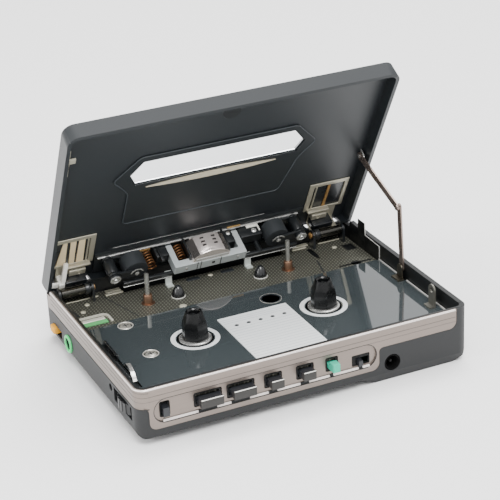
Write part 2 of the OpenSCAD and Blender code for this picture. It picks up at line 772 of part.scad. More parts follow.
// Finned spindle, its bright washer and the gear under the deck, with the bore for the post
module reel(s) {
  x = s * reel_pitch / 2;
  core_r = spindle_d / 2 - 0.7;
  cone = 2.4;
  color("#1b1f22") difference() {
    union() {
      rod_z(gear_r, x, 0, [gear_z, gear_z + gear_t]);
      rod_z(core_r, x, 0, [gear_z, z_deck + spindle_h - cone]);
      rod_z(reel_hole_d / 2 - 0.6, x, 0, [z_plate + 0.2, z_deck + 0.2]);
      translate([x, 0, z_deck + spindle_h - cone])
        cylinder(r1 = core_r, r2 = core_r - 1.4, h = cone);
      for (a = [0:60:300]) translate([x, 0, 0]) rotate([0, 0, a])
        box([core_r - 0.6, spindle_d / 2], [-0.55, 0.55], [z_deck, z_deck + spindle_h - cone]);
    }
    rod_z(post_r + run_fit, x, 0, [0, z_deck + 6.5]);
  }
}

module guide_tabs() {
  color("#b4b8b6") both_sides() {
    box([tab_x - tab_w / 2, tab_x + tab_w / 2], [tab_y - tab_t, tab_y], [z_plate, z_plate + tab_h]);
    box([tab_x - tab_w / 2, tab_x + tab_w / 2], [tab_y - 2.4, tab_y], [z_plate, z_plate + 0.5]);
  }
}

// Fixed cheeks of the hinge and the pins that they hold
module hinge_brackets() {
  color("#a8a595") both_sides() for (x = [bracket_x_in, bracket_x_out]) difference() {
    union() {
      box([x, x + bracket_t], [hinge_y - 1.8, hinge_y + 1.8], [z_plate, hinge_z]);
      rod_x(1.8, [x, x + bracket_t], hinge_y, hinge_z);
    }
    rod_x(hinge_pin_d / 2 + seat_fit, [x - 1, x + 2], hinge_y, hinge_z);
  }
}
module hinge_pins() {
  color("#c8c8c4") both_sides()
    rod_x(hinge_pin_d / 2, [bracket_x_in, bracket_x_out + bracket_t], hinge_y, hinge_z);
}

// Two-link stay at the right: the foot on the chassis, both links and the lug in the lid
module stay_link(p, q, x) {
  d = q - p;
  translate([x, p[0], p[1]]) rotate([atan2(d[1], d[0]), 0, 0]) {
    rod_x(stay_w / 2, [0, stay_t], 0, 0);
    rod_x(stay_w / 2, [0, stay_t], norm(d), 0);
    box([0, stay_t], [0, norm(d)], [-stay_w / 2, stay_w / 2]);
  }
}
module stay_foot() {
  color("#a3a3a0") {
    box([stay_x_in, stay_x_in + stay_t], [stay_foot_y - 1.5, stay_foot_y + 1.5], [z_deck, stay_foot_z]);
    rod_x(1.5, [stay_x_in, stay_x_in + stay_t], stay_foot_y, stay_foot_z);
    box([stay_x_in - 1.6, stay_x_in + stay_t], [stay_foot_y - 2.2, stay_foot_y + 2.2],
      [z_deck, z_deck + 0.5]);
    rod_x(stay_pin_r, [stay_x_in, stay_x + stay_t + 0.1], stay_foot_y, stay_foot_z);
  }
}
module stay_lower() {
  color("#6a5d58") difference() {
    stay_link(stay_b, stay_e, stay_x);
    rod_x(stay_pin_r + run_fit, [stay_x - 1, stay_x + 2], stay_b[0], stay_b[1]);
  }
}
module stay_upper() {
  color("#6a5d58") difference() {
    union() {
      stay_link(stay_a, stay_e, stay_x_in);
      rod_x(0.9, [stay_x_in - stay_head, stay_x_in + eps], stay_e[0], stay_e[1]);
    }
    rod_x(stay_pin_r + run_fit, [stay_x_in - 1, stay_x_in + 2], stay_a[0], stay_a[1]);
  }
}
module stay_lug() {
  y = hinge_y - stay_u;
  z = hinge_z + stay_h;
  color("#8d8d8a") on_lid() {
    box([stay_x, stay_x + stay_t], [y - 1.4, y + 1.4], [z, z_lid_in]);
    rod_x(min(1.4, z_lid_in - z - seat_fit), [stay_x, stay_x + stay_t], y, z);
    rod_x(stay_pin_r, [stay_x_in - 0.15, stay_x + eps], y, z);
  }
}

module window_area(g) {
  low = window_u - window_h / 2;
  high = window_u + window_h / 2;
  half = window_l / 2;
  lid_shape([[-half + 2 - g, low - g], [-half - g, low + 4.1], [-half + 3.9 - g, high + g],
    [half - 3.9 + g, high + g], [half + g, low + 4.1], [half - 2 + g, low - g]]);
}
// A flat shape given by points at x and at the distance u from the hinge along the lid
module lid_shape(pts) {
  polygon([for (p = pts) [p[0], hinge_y - p[1]]]);
}
module lid_shell() {
  y0 = y_front + lid_setback;
  relief = lid_t / tan(relief_angle);
  heel = hinge_y + 0.3;
  heel_half = bracket_x_in - move_gap;
  heel_out = bracket_x_out + bracket_t + move_gap;
  color("#2f3437") on_lid() {
    difference() {
      slab([x_left, x_right], [y0, heel + relief + 2], [z_lid, z_lid_top], corner_r);
      slab([x_left + lid_wall, x_right - lid_wall], [y0 + lid_wall, y_rear + 9], [z_lid - 1, z_lid_in],
        corner_r - lid_wall);
      // Sloping relief that clears the case when the lid swings
      through_x([x_left - 1, x_right + 1])
        polygon([[heel - 1, z_lid - 1], [heel, z_lid], [heel + relief, z_lid_top],
          [heel + relief, z_lid_top + 1], [heel + 20, z_lid_top + 1], [heel + 20, z_lid - 1]]);
      translate([0, 0, z_lid_in - 1]) linear_extrude(lid_skin + 2) window_area(seat_fit);
    }
    // Heel wall along the relief, open where the hinge leaves pass and hollowed behind the rollers
    difference() {
      for (r = [[-heel_half, heel_half], [x_left + lid_wall / 2, -heel_out],
        [heel_out, x_right - lid_wall / 2]])
        through_x(r) polygon([[heel - lid_wall, z_lid], [heel, z_lid], [heel + relief, z_lid_top],
          [heel + relief - lid_wall, z_lid_top]]);
      both_sides() rod_z(roller_d / 2 + move_gap, roller_x, roller_y, [z_lid - 1, z_lid_in]);
    }
  }
}
module lid_window() {
  color("#dfe6ea") on_lid() translate([0, 0, z_lid_in + 0.1]) linear_extrude(lid_skin - 0.3) window_area(0);
}

// Raised panel round the window on the inside of the lid
module lid_panel() {
  color("#262b2e") on_lid() translate([0, 0, z_lid_in - 0.4]) linear_extrude(0.4) difference() {
    lid_shape([[-26.2, 51.4], [25.1, 51.4], [32.9, 42.4], [28, 35.8], [24, 21], [-28.5, 21], [-28.5, 35.8],
      [-34, 42.4]]);
    window_area(0.4);
  }
}
module lens_strip() {
  n = 24;
  edge = [for (i = [0:n]) 2 * i / n - 1];
  color("#b9ad93") on_lid() translate([0, 0, z_lid_in - 0.7]) linear_extrude(0.3) lid_shape(concat(
    [for (t = edge) [lens_x + t * lens_l / 2, lens_u + lens_w / 2 * (1.04 - t * t)]],
    [for (t = edge) [lens_x - t * lens_l / 2, lens_u - lens_w / 2 * (1.04 - t * t)]]));
}
module striker_plate() {
  x = x_left + lid_wall;
  y = hinge_y - striker_u1;
  color("#b5b5b0") on_lid() difference() {
    union() {
      box([x, x + 0.4], [y, hinge_y - striker_u0], [z_lid + 0.4, z_lid_in]);
      box([x, x + 2.2], [y + 3.4, y + 5.6], [z_lid + 0.4, z_lid + 0.8]);
    }
    rod_x(0.5, [x - 1, x + 4], y + 1.6, z_lid + 2.4);
  }
}

// Nickel frames that carry the barrels, with the flat springs in their windows
module hinge_plate() {
  b0 = barrel_x - barrel_l / 2;
  b1 = barrel_x + barrel_l / 2;
  difference() {
    union() {
      box([frame_in, frame_out], [frame_y0, frame_y1], [z_lid_in - frame_t, z_lid_in]);
      box([b0, b1], [frame_y1 - eps, hinge_y + barrel_r], [z_lid_in - frame_t, z_lid_in]);
      box([b0, b1], [hinge_y + barrel_r - 1, hinge_y + barrel_r], [hinge_z, z_lid_in]);
      rod_x(barrel_r, [b0, b1], hinge_y, hinge_z);
    }
    rod_x(hinge_pin_d / 2 + run_fit, [b0 - 1, b1 + 1], hinge_y, hinge_z);
    box([frame_in + 1.8, frame_out - 1.4], [frame_y0 + 1.6, frame_y1 - 1], [0, z_lid_top]);
  }
}
module hinge_plate_left() {
  color("#a8a595") on_lid() mirror([1, 0, 0]) hinge_plate();
}
module hinge_plate_right() {
  color("#a8a595") on_lid() hinge_plate();
}
module hinge_springs() {
  w = 2.4;
  color("#c9b48c") on_lid() both_sides() for (i = [0:2])
    box([frame_in + 2.2 + i * 3.4, frame_in + 2.2 + i * 3.4 + w], [frame_y0 + 1.6, frame_y1 - 1],
      [z_lid_in - frame_t, z_lid_in]);
}

// Head block: base plate in the lid, bracket, head, springs, guide posts and pinch rollers
module head_base() {
  color("#bdbbb4") on_lid() box([-base_half, base_half], [base_front, base_rear], [base_z, z_lid_in]);
}
module head_bracket() {
  color("#b9bdbd") on_lid() {
    box([-bracket_half, bracket_half], [bracket_y, bracket_y + bracket_depth],
      [bracket_z, bracket_z + bracket_bar]);
    both_sides() box([bracket_half - bracket_arm, bracket_half], [bracket_y, bracket_y + bracket_depth],
      [bracket_z, base_z]);
  }
}
module tape_head() {
  seat = bracket_z + bracket_bar + 0.1;
  color("#d5d2cc") on_lid() {
    intersection() {
      box([-head_w / 2, head_w / 2], [head_front, bracket_y - seat_fit], [head_z, head_z + head_h]);
      rod_z(head_round, 0, head_front + head_round, [0, z_lid_top]);
    }
    box([-head_w / 2 + 2, head_w / 2 - 2], [bracket_y - 1, bracket_y + bracket_depth], [seat, base_z]);
  }
}
module coil_spring() {
  n = len(coil_line);
  pts = [for (i = [0:n - 1])
    let (k = min(max(i - 1, 0), coil_n), a = 360 * k / rings)
    let (t0 = coil_line[max(i - 1, 0)], t1 = coil_line[min(i + 1, n - 1)])
    let (t = (t1 - t0) / norm(t1 - t0), r = [cos(a), sin(a), 0])
    let (b0 = cross(t, r), b = b0 / norm(b0), m = cross(b, t))
    for (j = [0:sides - 1])
      coil_line[i] + spring_wire * (cos(360 * j / sides) * m + sin(360 * j / sides) * b)];
  walls = [for (i = [0:n - 2], j = [0:sides - 1])
    let (a = i * sides + j, b = i * sides + (j + 1) % sides)
    each [[a, a + sides, b], [b, a + sides, b + sides]]];
  last = (n - 1) * sides;
  caps = [for (j = [1:sides - 2]) each [[0, j, j + 1], [last, last + j + 1, last + j]]];
  polyhedron(points = pts, faces = concat(walls, caps));
}
module head_springs() {
  color("#b0703c") on_lid() for (x = spring_xs)
    translate([x, spring_y, base_z - spring_l]) coil_spring();
}
module guide_posts() {
  color("#1d2022") on_lid() both_sides() difference() {
    rod_z(guide_r, post_x, post_y, [post_low, base_z]);
    rod_z(guide_r + 1, post_x, post_y, [roller_z - arm_t - arm_gap - slide_fit,
      roller_z - arm_gap + slide_fit]);
    rod_z(guide_r + 1, post_x, post_y, [roller_z + roller_h + arm_gap - slide_fit,
      roller_z + roller_h + arm_gap + arm_t + slide_fit]);
  }
  color("#1d2022") on_lid() both_sides() rod_z(guide_r - 1, post_x, post_y, [post_low, base_z]);
}
// Fork of two plates round the roller, turning on the guide post
module pinch_arm() {
  for (z = [roller_z - arm_t - arm_gap, roller_z + roller_h + arm_gap]) difference() {
    union() {
      rod_z(guide_r, post_x, post_y, [z, z + arm_t]);
      rod_z(arm_w / 2, roller_x, roller_y, [z, z + arm_t]);
      translate([roller_x, roller_y, z]) rotate([0, 0, atan2(post_y - roller_y, post_x - roller_x)])
        translate([0, -arm_w / 2, 0]) cube([norm([post_x - roller_x, post_y - roller_y]), arm_w, arm_t]);
    }
    rod_z(guide_r - 1 + run_fit, post_x, post_y, [0, z_lid_top]);
  }
  rod_z(axle_r, roller_x, roller_y, [roller_z - arm_t - arm_gap, roller_z + roller_h + arm_gap + arm_t]);
}
module pinch_roller() {
  difference() {
    rod_z(roller_d / 2, roller_x, roller_y, [roller_z, roller_z + roller_h]);
    rod_z(axle_r + run_fit, roller_x, roller_y, [0, z_lid_top]);
  }
}
module pinch_arm_left() {
  color("#2a2e30") on_lid() mirror([1, 0, 0]) pinch_arm();
}
module pinch_arm_right() {
  color("#2a2e30") on_lid() pinch_arm();
}
module pinch_roller_left() {
  color("#222426") on_lid() mirror([1, 0, 0]) pinch_roller();
}
module pinch_roller_right() {
  color("#222426") on_lid() pinch_roller();
}

// Push button: cap, stem through the wall, and a lip inside that keeps it in
module push_button(i, tint) {
  x = button_x[i];
  w = button_w[i];
  z = button_top - button_h;
  color(tint) {
    box([x - w / 2, x + w / 2], [y_front - button_out, y_front], [z, button_top]);
    box([x - w / 2, x + w / 2], [y_front - eps, y_front_in + 0.2 + eps], [z, stem_top]);
    box([x - w / 2 - button_lip, x + w / 2 + button_lip], [y_front_in + 0.2, y_front_in + 0.2 + lip_t],
      [z - button_lip, stem_top]);
  }
}
module open_knob() {
  z = open_z - open_h / 2;
  color("#4a4b4b") {
    box([open_x - open_w / 2, open_x + open_w / 2], [y_front - knob_out, y_front_in + 0.2 + eps],
      [z, z + open_h]);
    box([open_x - open_w, open_x + open_w], [y_front_in + 0.2, y_front_in + 0.2 + slider_plate_t],
      [z - 2, stem_top - open_stroke]);
  }
}
module mode_knob() {
  z = mode_z - mode_h / 2;
  color("#4a4b4b") {
    box([mode_x - mode_w / 2, mode_x + mode_w / 2], [y_front - knob_out, y_front_in + 0.2 + eps],
      [z, z + mode_h]);
    box([mode_x - mode_w, mode_x + mode_w], [y_front_in + 0.2, y_front_in + 0.2 + slider_plate_t],
      [z - 0.7, stem_top]);
  }
}
module tone_slider() {
  color("#f0a630") {
    box([x_left - tone_out, x_left_in + 0.2 + eps], [tone_y - tone_w / 2, tone_y + tone_w / 2],
      [tone_z - tone_h / 2, tone_z + tone_h / 2]);
    box([x_left_in + 0.2, x_left_in + 0.2 + slider_plate_t],
      [tone_y - tone_w / 2 - 0.8, tone_y + tone_w / 2 + 0.8],
      [tone_z - tone_h / 2 - 0.8, tone_z + tone_h / 2 + 0.8]);
  }
}
module volume_wheel() {
  color("#3a3d40") difference() {
    rod_z(wheel_d / 2, wheel_x, wheel_y, [wheel_z, wheel_z + wheel_t]);
    rod_z(post_r + run_fit, wheel_x, wheel_y, [0, z_rim]);
    for (a = [0:12:348]) translate([wheel_x, wheel_y, wheel_z - 1]) rotate([0, 0, a])
      translate([wheel_d / 2, 0, 0]) cylinder(r = 0.35, h = wheel_t + 2, $fn = 16);
  }
}

// Phone jack at the left and power jack at the front, each a barrel in a block
module jacks() {
  color("#6fdc9a") difference() {
    union() {
      rod_x(phone_r, [x_left - 0.4, x_left_in + 0.3], phone_y, phone_z);
      box([x_left_in + 0.2, x_left + jack_l], [phone_y - jack_body / 2, phone_y + jack_body / 2],
        [max(z_floor, phone_z - jack_body / 2), phone_z + jack_body / 2]);
    }
    rod_x(phone_plug_d / 2 + run_fit, [x_left - 2, x_left + jack_l - 1], phone_y, phone_z);
  }
  color("#1a1c1e") difference() {
    union() {
      rod_y(power_r, power_x, [y_front, y_front_in + 0.3], power_z);
      box([power_x - power_r, power_x + power_r], [y_front_in + 0.2, y_front + jack_l - 1],
        [max(z_floor, power_z - jack_body / 2), power_z + jack_body / 2]);
    }
    rod_y(power_plug_d / 2 + run_fit, power_x, [y_front - 2, y_front + jack_l - 2], power_z);
  }
}

lower_case();
front_panel();
battery_door();
battery_cell();
battery_contacts();
circuit_board();
motor();
motor_pulley();
drive_belt();
pivot_posts();
chassis_plate();
deck_cover();
label_plate();
deck_screws();
cover_plug();
indicator_strip();
latch_keeper();
cable_guide();
side_lug();
locating_pins();
pin_collars();
capstan_bushes();
capstan(-1);  // capstan_left
capstan(1);  // capstan_right
reel(-1);  // reel_left
reel(1);  // reel_right
guide_tabs();
hinge_brackets();
hinge_pins();
stay_foot();
stay_lower();
stay_upper();
stay_lug();
lid_shell();
lid_window();
lid_panel();
lens_strip();
striker_plate();
hinge_plate_left();
hinge_plate_right();
hinge_springs();
head_base();
head_bracket();
tape_head();
head_springs();
guide_posts();
pinch_arm_left();
pinch_arm_right();
pinch_roller_left();
pinch_roller_right();
push_button(0, "#5d5c5a");  // play_button
push_button(1, "#5d5c5a");  // stop_button
push_button(2, "#5d5c5a");  // rewind_button
push_button(3, "#5d5c5a");  // forward_button
push_button(4, "#45c79a");  // direction_button
open_knob();
mode_knob();
tone_slider();
volume_wheel();
jacks();
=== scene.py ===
import math

import bmesh
import bpy
import numpy as np
from mathutils import Matrix


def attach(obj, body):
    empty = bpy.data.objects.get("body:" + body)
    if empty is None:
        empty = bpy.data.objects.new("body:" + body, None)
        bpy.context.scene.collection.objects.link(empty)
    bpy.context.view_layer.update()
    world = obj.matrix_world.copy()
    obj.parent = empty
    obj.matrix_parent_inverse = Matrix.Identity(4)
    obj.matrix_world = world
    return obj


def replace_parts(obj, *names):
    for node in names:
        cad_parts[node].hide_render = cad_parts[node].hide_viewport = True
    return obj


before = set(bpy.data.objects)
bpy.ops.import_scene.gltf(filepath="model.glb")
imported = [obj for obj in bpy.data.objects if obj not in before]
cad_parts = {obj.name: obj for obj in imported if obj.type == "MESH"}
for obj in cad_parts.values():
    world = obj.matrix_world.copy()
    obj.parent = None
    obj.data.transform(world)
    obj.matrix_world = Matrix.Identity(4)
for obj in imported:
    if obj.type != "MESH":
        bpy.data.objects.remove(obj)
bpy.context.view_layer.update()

bl_info = {
    "name": "Portable cassette player",
    "version": (1, 0, 0),
    "blender": (4, 5, 0),
    "location": "View3D > Sidebar > Player",
    "description": "Dresses the packed cassette player with its finishes and fine pieces",
    "category": "Object",
}

MM = 0.001
# Levels and places of the solids, in millimetres, and the angle at which the lid stands open
LEFT, FRONT, CORNER_R = -52.0, -31.0, 3.5
PLATE_Z, DECK_Z, RIM_Z = 11.7, 12.5, 17.8
HINGE_Y, HINGE_Z, OPEN = 41.2, 15.9, math.radians(60.5)
LID_IN, LID_REACH = 22.15, 71.0
SPINDLE_X, ROLLER_X, ROLLER_Y = 21.25, 24.4, 36.7
PINS, BUSHES, SCREWS = ((-14.15, 29.8), (14.15, 29.8)), ((-24.1, 30.2), (24.1, 30.2)), ((-36.4, -2.4), (-36.4, 17.9))
# Jacks: the place of the axis, in Y and Z for the phone jack and in X and Z for the power jack
PHONE_JACK, POWER_JACK = (26.0, 6.7), (27.7, 6.0)
# Buttons: name, centre and width along the front; then the lowest and highest level of them all
BUTTONS = (("play", -30.8, 6.9), ("stop", -20.7, 6.9), ("rewind", -10.6, 3.9), ("forward", -0.5, 3.9),
           ("direction", 8.1, 2.3))
BUTTON_LOW, BUTTON_TOP = 9.1, 11.8
SIDES = (("left", -1), ("right", 1))
# Bodies whose pieces are drawn with the lid shut
LID_BODIES = ("lid", "pinch_arm_left", "pinch_arm_right")


def linear(code):
    """Linear colour of an sRGB hex code: each channel through the sRGB curve."""
    c = np.array([int(code[i:i + 2], 16) for i in (1, 3, 5)]) / 255
    return tuple(np.where(c <= 0.04045, c / 12.92, ((c + 0.055) / 1.055) ** 2.4).tolist())


def on_lid(p):
    """Points drawn in the lid's shut place, turned about the hinge line to where the lid stands open."""
    q = np.array(p, float)
    y, z = q[..., 1] - HINGE_Y, q[..., 2] - HINGE_Z
    q[..., 1] = HINGE_Y + y * math.cos(OPEN) + z * math.sin(OPEN)
    q[..., 2] = HINGE_Z - y * math.sin(OPEN) + z * math.cos(OPEN)
    return q


def colour(label, about, code):
    """Colour property whose default is an sRGB hex code."""
    return bpy.props.FloatVectorProperty(name=label, description=about, subtype="COLOR", size=3, min=0, max=1,
                                         default=linear(code))


def length(label, about, mm):
    """Length property whose default is in millimetres."""
    return bpy.props.FloatProperty(name=label, description=about, subtype="DISTANCE", unit="LENGTH",
                                   precision=5, min=0, default=mm * MM)


class PlayerColours(bpy.types.PropertyGroup):
    """Colours of the player's finishes"""
    case: colour("Case", "Moulded case", "#0e1012")
    panel: colour("Panel", "Brushed control panel", "#80766f")
    cover: colour("Deck cover", "Glossy deck cover", "#353b3d")
    chassis: colour("Chassis", "Embossed chassis plate", "#6a6a60")
    label: colour("Label", "Brushed label plate", "#dfe2e2")
    lid: colour("Lid", "Inside and outside of the lid", "#1b1f22")
    button: colour("Buttons", "Push buttons", "#24262a")
    go: colour("Direction button", "Green button", "#30a88a")
    slider: colour("Tone slider", "Orange slider", "#d89a30")
    jack: colour("Phone jack", "Green ring of the phone jack", "#2cc368")
    bronze: colour("Bushes", "Capstan bushes", "#8f6f5a")
    copper: colour("Coil springs", "Copper wire", "#7a5536")
    strip: colour("Flat springs", "Flat springs in the hinge plates", "#e2cfa8")


class PlayerSizes(bpy.types.PropertyGroup):
    """Sizes of the fine pieces"""
    ring_in: length("Ring inside", "Inner radius of the printed rings", 5.9)
    ring_out: length("Ring outside", "Outer radius of the printed rings", 7.35)
    emboss: length("Emboss spacing", "Spacing of the chassis emboss", 1.0)
    brush: length("Brush spacing", "Spacing of the brush lines on the panel", 0.22)
    trim: length("Trim", "Radius of the polished edge of the panel", 0.3)
    wire: length("Spring wire", "Radius of the spring wire", 0.27)


def sizes():
    return bpy.context.scene.player_sizes


def colours():
    return bpy.context.scene.player_colours


def add(tree, kind, values=None, links=None):
    """Adds a node, sets its sockets or settings by name, and links its inputs to other nodes' outputs."""
    n = tree.nodes.new(kind)
    for key, value in (values or {}).items():
        if isinstance(key, int) or key in n.inputs:
            n.inputs[key].default_value = value
        else:
            setattr(n, key, value)
    for key, source in (links or {}).items():
        tree.links.new(source, n.inputs[key])
    return n


def surface(name, values):
    """A new material with one principled shader; gives the material, its tree, the shader and object coordinates."""
    mat = bpy.data.materials.new(name)
    mat.use_nodes = True
    tree = mat.node_tree
    tree.nodes.clear()
    shader = add(tree, "ShaderNodeBsdfPrincipled", values)
    add(tree, "ShaderNodeOutputMaterial", links={"Surface": shader.outputs[0]})
    place = add(tree, "ShaderNodeTexCoord").outputs["Object"]
    return mat, tree, shader, place


def rgba(c, k):
    """Shader colour from a hex code or a linear colour, made k times as bright."""
    r, g, b = linear(c) if isinstance(c, str) else c
    return (r * k, g * k, b * k, 1.0)


def tint_and_bump(tree, shader, pattern, low, high, depth_mm, rough):
    """Runs a grey pattern into the colour between low and high, into roughness, and into a bump of a given depth."""
    mix = add(tree, "ShaderNodeMix", {"data_type": "RGBA"}, {"Factor": pattern})
    mix.inputs["A"].default_value = low
    mix.inputs["B"].default_value = high
    tree.links.new(mix.outputs["Result"], shader.inputs["Base Color"])
    if rough:
        spread = add(tree, "ShaderNodeMapRange", {"To Min": rough[0], "To Max": rough[1]}, {"Value": pattern})
        tree.links.new(spread.outputs[0], shader.inputs["Roughness"])
    if depth_mm:
        bump = add(tree, "ShaderNodeBump", {"Distance": depth_mm * MM, "Strength": 1.0}, {"Height": pattern})
        tree.links.new(bump.outputs[0], shader.inputs["Normal"])


def moulded(name, c, rough, grain_mm=0.35, depth_mm=0.012):
    """Moulded ABS: a fine spark-eroded grain that scatters the light, and a faint unevenness of tone.
    The real grain is near 0.1 mm; it is drawn coarser so that it shows."""
    mat, tree, shader, place = surface(name, {"Roughness": rough, "IOR": 1.5})
    fine = add(tree, "ShaderNodeTexNoise", {"Scale": 1 / (grain_mm * MM), "Detail": 2.0}, {"Vector": place})
    broad = add(tree, "ShaderNodeTexNoise", {"Scale": 1 / (22 * MM), "Detail": 3.0}, {"Vector": place})
    both = add(tree, "ShaderNodeMath", {"operation": "MULTIPLY_ADD", 1: 0.6}, {0: fine.outputs["Fac"]})
    half = add(tree, "ShaderNodeMath", {"operation": "MULTIPLY", 1: 0.4}, {0: broad.outputs["Fac"]})
    tree.links.new(half.outputs[0], both.inputs[2])
    tint_and_bump(tree, shader, both.outputs[0], rgba(c, 0.82), rgba(c, 1.2), depth_mm, (rough - 0.07, rough + 0.09))
    return mat


def lid_abs(name, c, inside, outside):
    """Moulded ABS, smooth inside the lid and matt on its front wall. How far a point lies from the hinge line along
    the open lid tells the two apart."""
    mat = moulded(name, c, inside)
    tree = mat.node_tree
    shader = next(n for n in tree.nodes if n.type == "BSDF_PRINCIPLED")
    place = next(n for n in tree.nodes if n.type == "TEX_COORD").outputs["Object"]
    out = (0, -math.cos(OPEN), math.sin(OPEN))
    reach = add(tree, "ShaderNodeVectorMath", {"operation": "DOT_PRODUCT", 1: out}, {0: place})
    front = (HINGE_Y * out[1] + HINGE_Z * out[2] + LID_REACH) * MM
    matt = add(tree, "ShaderNodeMapRange",
               {"From Min": front - 1.8 * MM, "From Max": front - 1.3 * MM, "To Max": outside},
               {"Value": reach.outputs["Value"]})
    inner = shader.inputs["Roughness"].links[0].from_socket
    rougher = add(tree, "ShaderNodeMath", {"operation": "MAXIMUM"}, {0: inner, 1: matt.outputs[0]})
    tree.links.new(rougher.outputs[0], shader.inputs["Roughness"])
    return mat


def brushed(name, c, rough=0.32, line_mm=0.22, along="XY", metal=1.0, contrast=0.16):
    """Brushed sheet: fine lines drawn along the sheet, each a little lighter or darker and rougher than the next."""
    mat, tree, shader, place = surface(name, {"Metallic": metal, "Roughness": rough})
    fine, run = 1 / (line_mm * MM), 1 / (14 * MM)
    scale = tuple(run if a in along else fine for a in "XYZ")
    turn = add(tree, "ShaderNodeMapping", {"Scale": scale}, {"Vector": place})
    lines = add(tree, "ShaderNodeTexNoise", {"Scale": 1.0, "Detail": 4.0, "Roughness": 0.6},
                {"Vector": turn.outputs[0]})
    tint_and_bump(tree, shader, lines.outputs["Fac"], rgba(c, 1 - contrast), rgba(c, 1 + contrast), 0.006,
                  (rough - 0.08, rough + 0.12))
    return mat


def clouded(name, values, patch_mm, detail, low, high, depth_mm, rough, fray=0.5):
    """A material whose tint, roughness and bump follow one noise with patches of a given size."""
    mat, tree, shader, place = surface(name, values)
    cloud = add(tree, "ShaderNodeTexNoise", {"Scale": 1 / (patch_mm * MM), "Detail": detail, "Roughness": fray},
                {"Vector": place})
    tint_and_bump(tree, shader, cloud.outputs["Fac"], low, high, depth_mm, rough)
    return mat


def plated(name, c, rough=0.12, blotch_mm=6.0, spread=0.08, metal=1.0):
    """Plated or polished metal: nearly a mirror, clouded here and there by handling."""
    return clouded(name, {"Metallic": metal, "Roughness": rough}, blotch_mm, 4.0, rgba(c, 0.86), rgba(c, 1.08), 0.0,
                   (rough, rough + spread * 2))


def gloss(name, c, rough, coat, dust=0.06, ior=1.52):
    """Polished injection moulding: a clear reflecting skin with thin scuffs and a little dust."""
    return clouded(name, {"Roughness": rough, "IOR": ior, "Coat Weight": coat, "Coat Roughness": 0.03}, 3.2, 7.0,
                   rgba(c, 1 - 2 * dust), rgba(c, 1 + 4 * dust), 0.0, (rough * 0.6, rough * 1.8), 0.68)


def rubber(name, c):
    """Ground rubber: matt, with a fine powdery bloom."""
    return clouded(name, {"Roughness": 0.62, "IOR": 1.5}, 0.5, 5.0, rgba(c, 0.8), rgba(c, 1.35), 0.01, (0.5, 0.72))


def clear_pane(name):
    """Clear acrylic pane: tinted only by its thickness."""
    return clouded(name, {"Roughness": 0.03, "IOR": 1.49, "Transmission Weight": 1.0}, 4, 4.0,
                   (0.9, 0.93, 0.95, 1), (0.98, 0.99, 1.0, 1), 0.0, (0.02, 0.07))


def embossed(name, c, pitch):
    """Plated sheet rolled with a fine raised hatch: bumps where two rows of ripples, one pitch apart, cross. The crests
    are tinted lighter and the hollows darker, a painted highlight and painted shade on the relief.
    """
    mat, tree, shader, place = surface(name, {"Metallic": 0.6, "Roughness": 0.4})
    axes = add(tree, "ShaderNodeSeparateXYZ", links={0: place})
    waves, k = [], 2 * math.pi / pitch
    for a, b in ((1.0, 0.0), (0.66, -0.75)):
        across = add(tree, "ShaderNodeMath", {"operation": "MULTIPLY", 1: a * k}, {0: axes.outputs["X"]})
        phase = add(tree, "ShaderNodeMath", {"operation": "MULTIPLY_ADD", 1: b * k},
                    {0: axes.outputs["Y"], 2: across.outputs[0]})
        ripple = add(tree, "ShaderNodeMath", {"operation": "SINE"}, {0: phase.outputs[0]})
        waves.append(add(tree, "ShaderNodeMapRange", {"From Min": -1.0}, {"Value": ripple.outputs[0]}).outputs[0])
    both = add(tree, "ShaderNodeMath", {"operation": "MULTIPLY"}, {0: waves[0], 1: waves[1]})
    # Tint follows the relief: painted highlight on the crests, painted shade in the hollows
    tint_and_bump(tree, shader, both.outputs[0], rgba(c, 0.55), rgba(c, 1.75), 0.08, (0.55, 0.3))
    return mat


def paint(mat, *nodes):
    """Puts a finish on CAD nodes."""
    for name in nodes:
        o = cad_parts[name]
        if not o.material_slots:
            o.data.materials.append(mat)
        for s in o.material_slots:
            s.material = mat


def soften(width_mm, *nodes, segments=2):
    """Rounds the sharp edges of CAD nodes: doubles welded, then edges over 35 degrees bevelled."""
    for name in nodes:
        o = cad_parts[name]
        weld = o.modifiers.new("weld", "WELD")
        weld.merge_threshold = 2e-6
        bevel = o.modifiers.new("edges", "BEVEL")
        bevel.width = width_mm * MM
        bevel.segments = segments
        bevel.limit_method = "ANGLE"
        bevel.angle_limit = math.radians(35)
        bevel.use_clamp_overlap = True
        bevel.harden_normals = False
        bevel.miter_outer = "MITER_ARC"


def skin(rings, closed=False):
    """Points and faces of a skin over rings of points: rings[i, j] is the j-th point of the i-th ring. The last ring
    joins the first in a closed row of rings; in an open row, caps close both ends."""
    p = np.asarray(rings, float)
    index = np.arange(p.size // 3).reshape(p.shape[:2])
    a, b = (index, np.roll(index, -1, 0)) if closed else (index[:-1], index[1:])
    faces = np.stack([a, b, np.roll(b, -1, 1), np.roll(a, -1, 1)], -1).reshape(-1, 4).tolist()
    if not closed:
        faces += [index[0].tolist(), index[-1][::-1].tolist()]
    return p.reshape(-1, 3), faces


def xyz(x, y, z):
    """Points from their coordinates, single ones spread over the others."""
    return np.stack(np.broadcast_arrays(x, y, z), -1)


def unit(rows):
    """Directions made one long."""
    return rows / np.linalg.norm(rows, axis=1, keepdims=True)


def turned(profile, centre, axis="Z", steps=48):
    """A turned form: a profile of radius and distance along the axis, swung in a full circle about the centre."""
    r, s = np.array(profile, float).T[:, :, None]
    t = np.linspace(0, 2 * math.pi, steps, endpoint=False)
    a, b = centre[0] + r * np.cos(t), centre[1] + r * np.sin(t)
    order = {"Z": (a, b, s), "Y": (a, s, b), "X": (s, a, b)}[axis]
    return skin(xyz(*order))


def sheet(loop, thick):
    """A flat sheet: a closed outline and the same raised by the thickness, joined round the edge."""
    loop = np.asarray(loop, float)
    return skin(np.stack([loop, loop + (0, 0, thick)]))


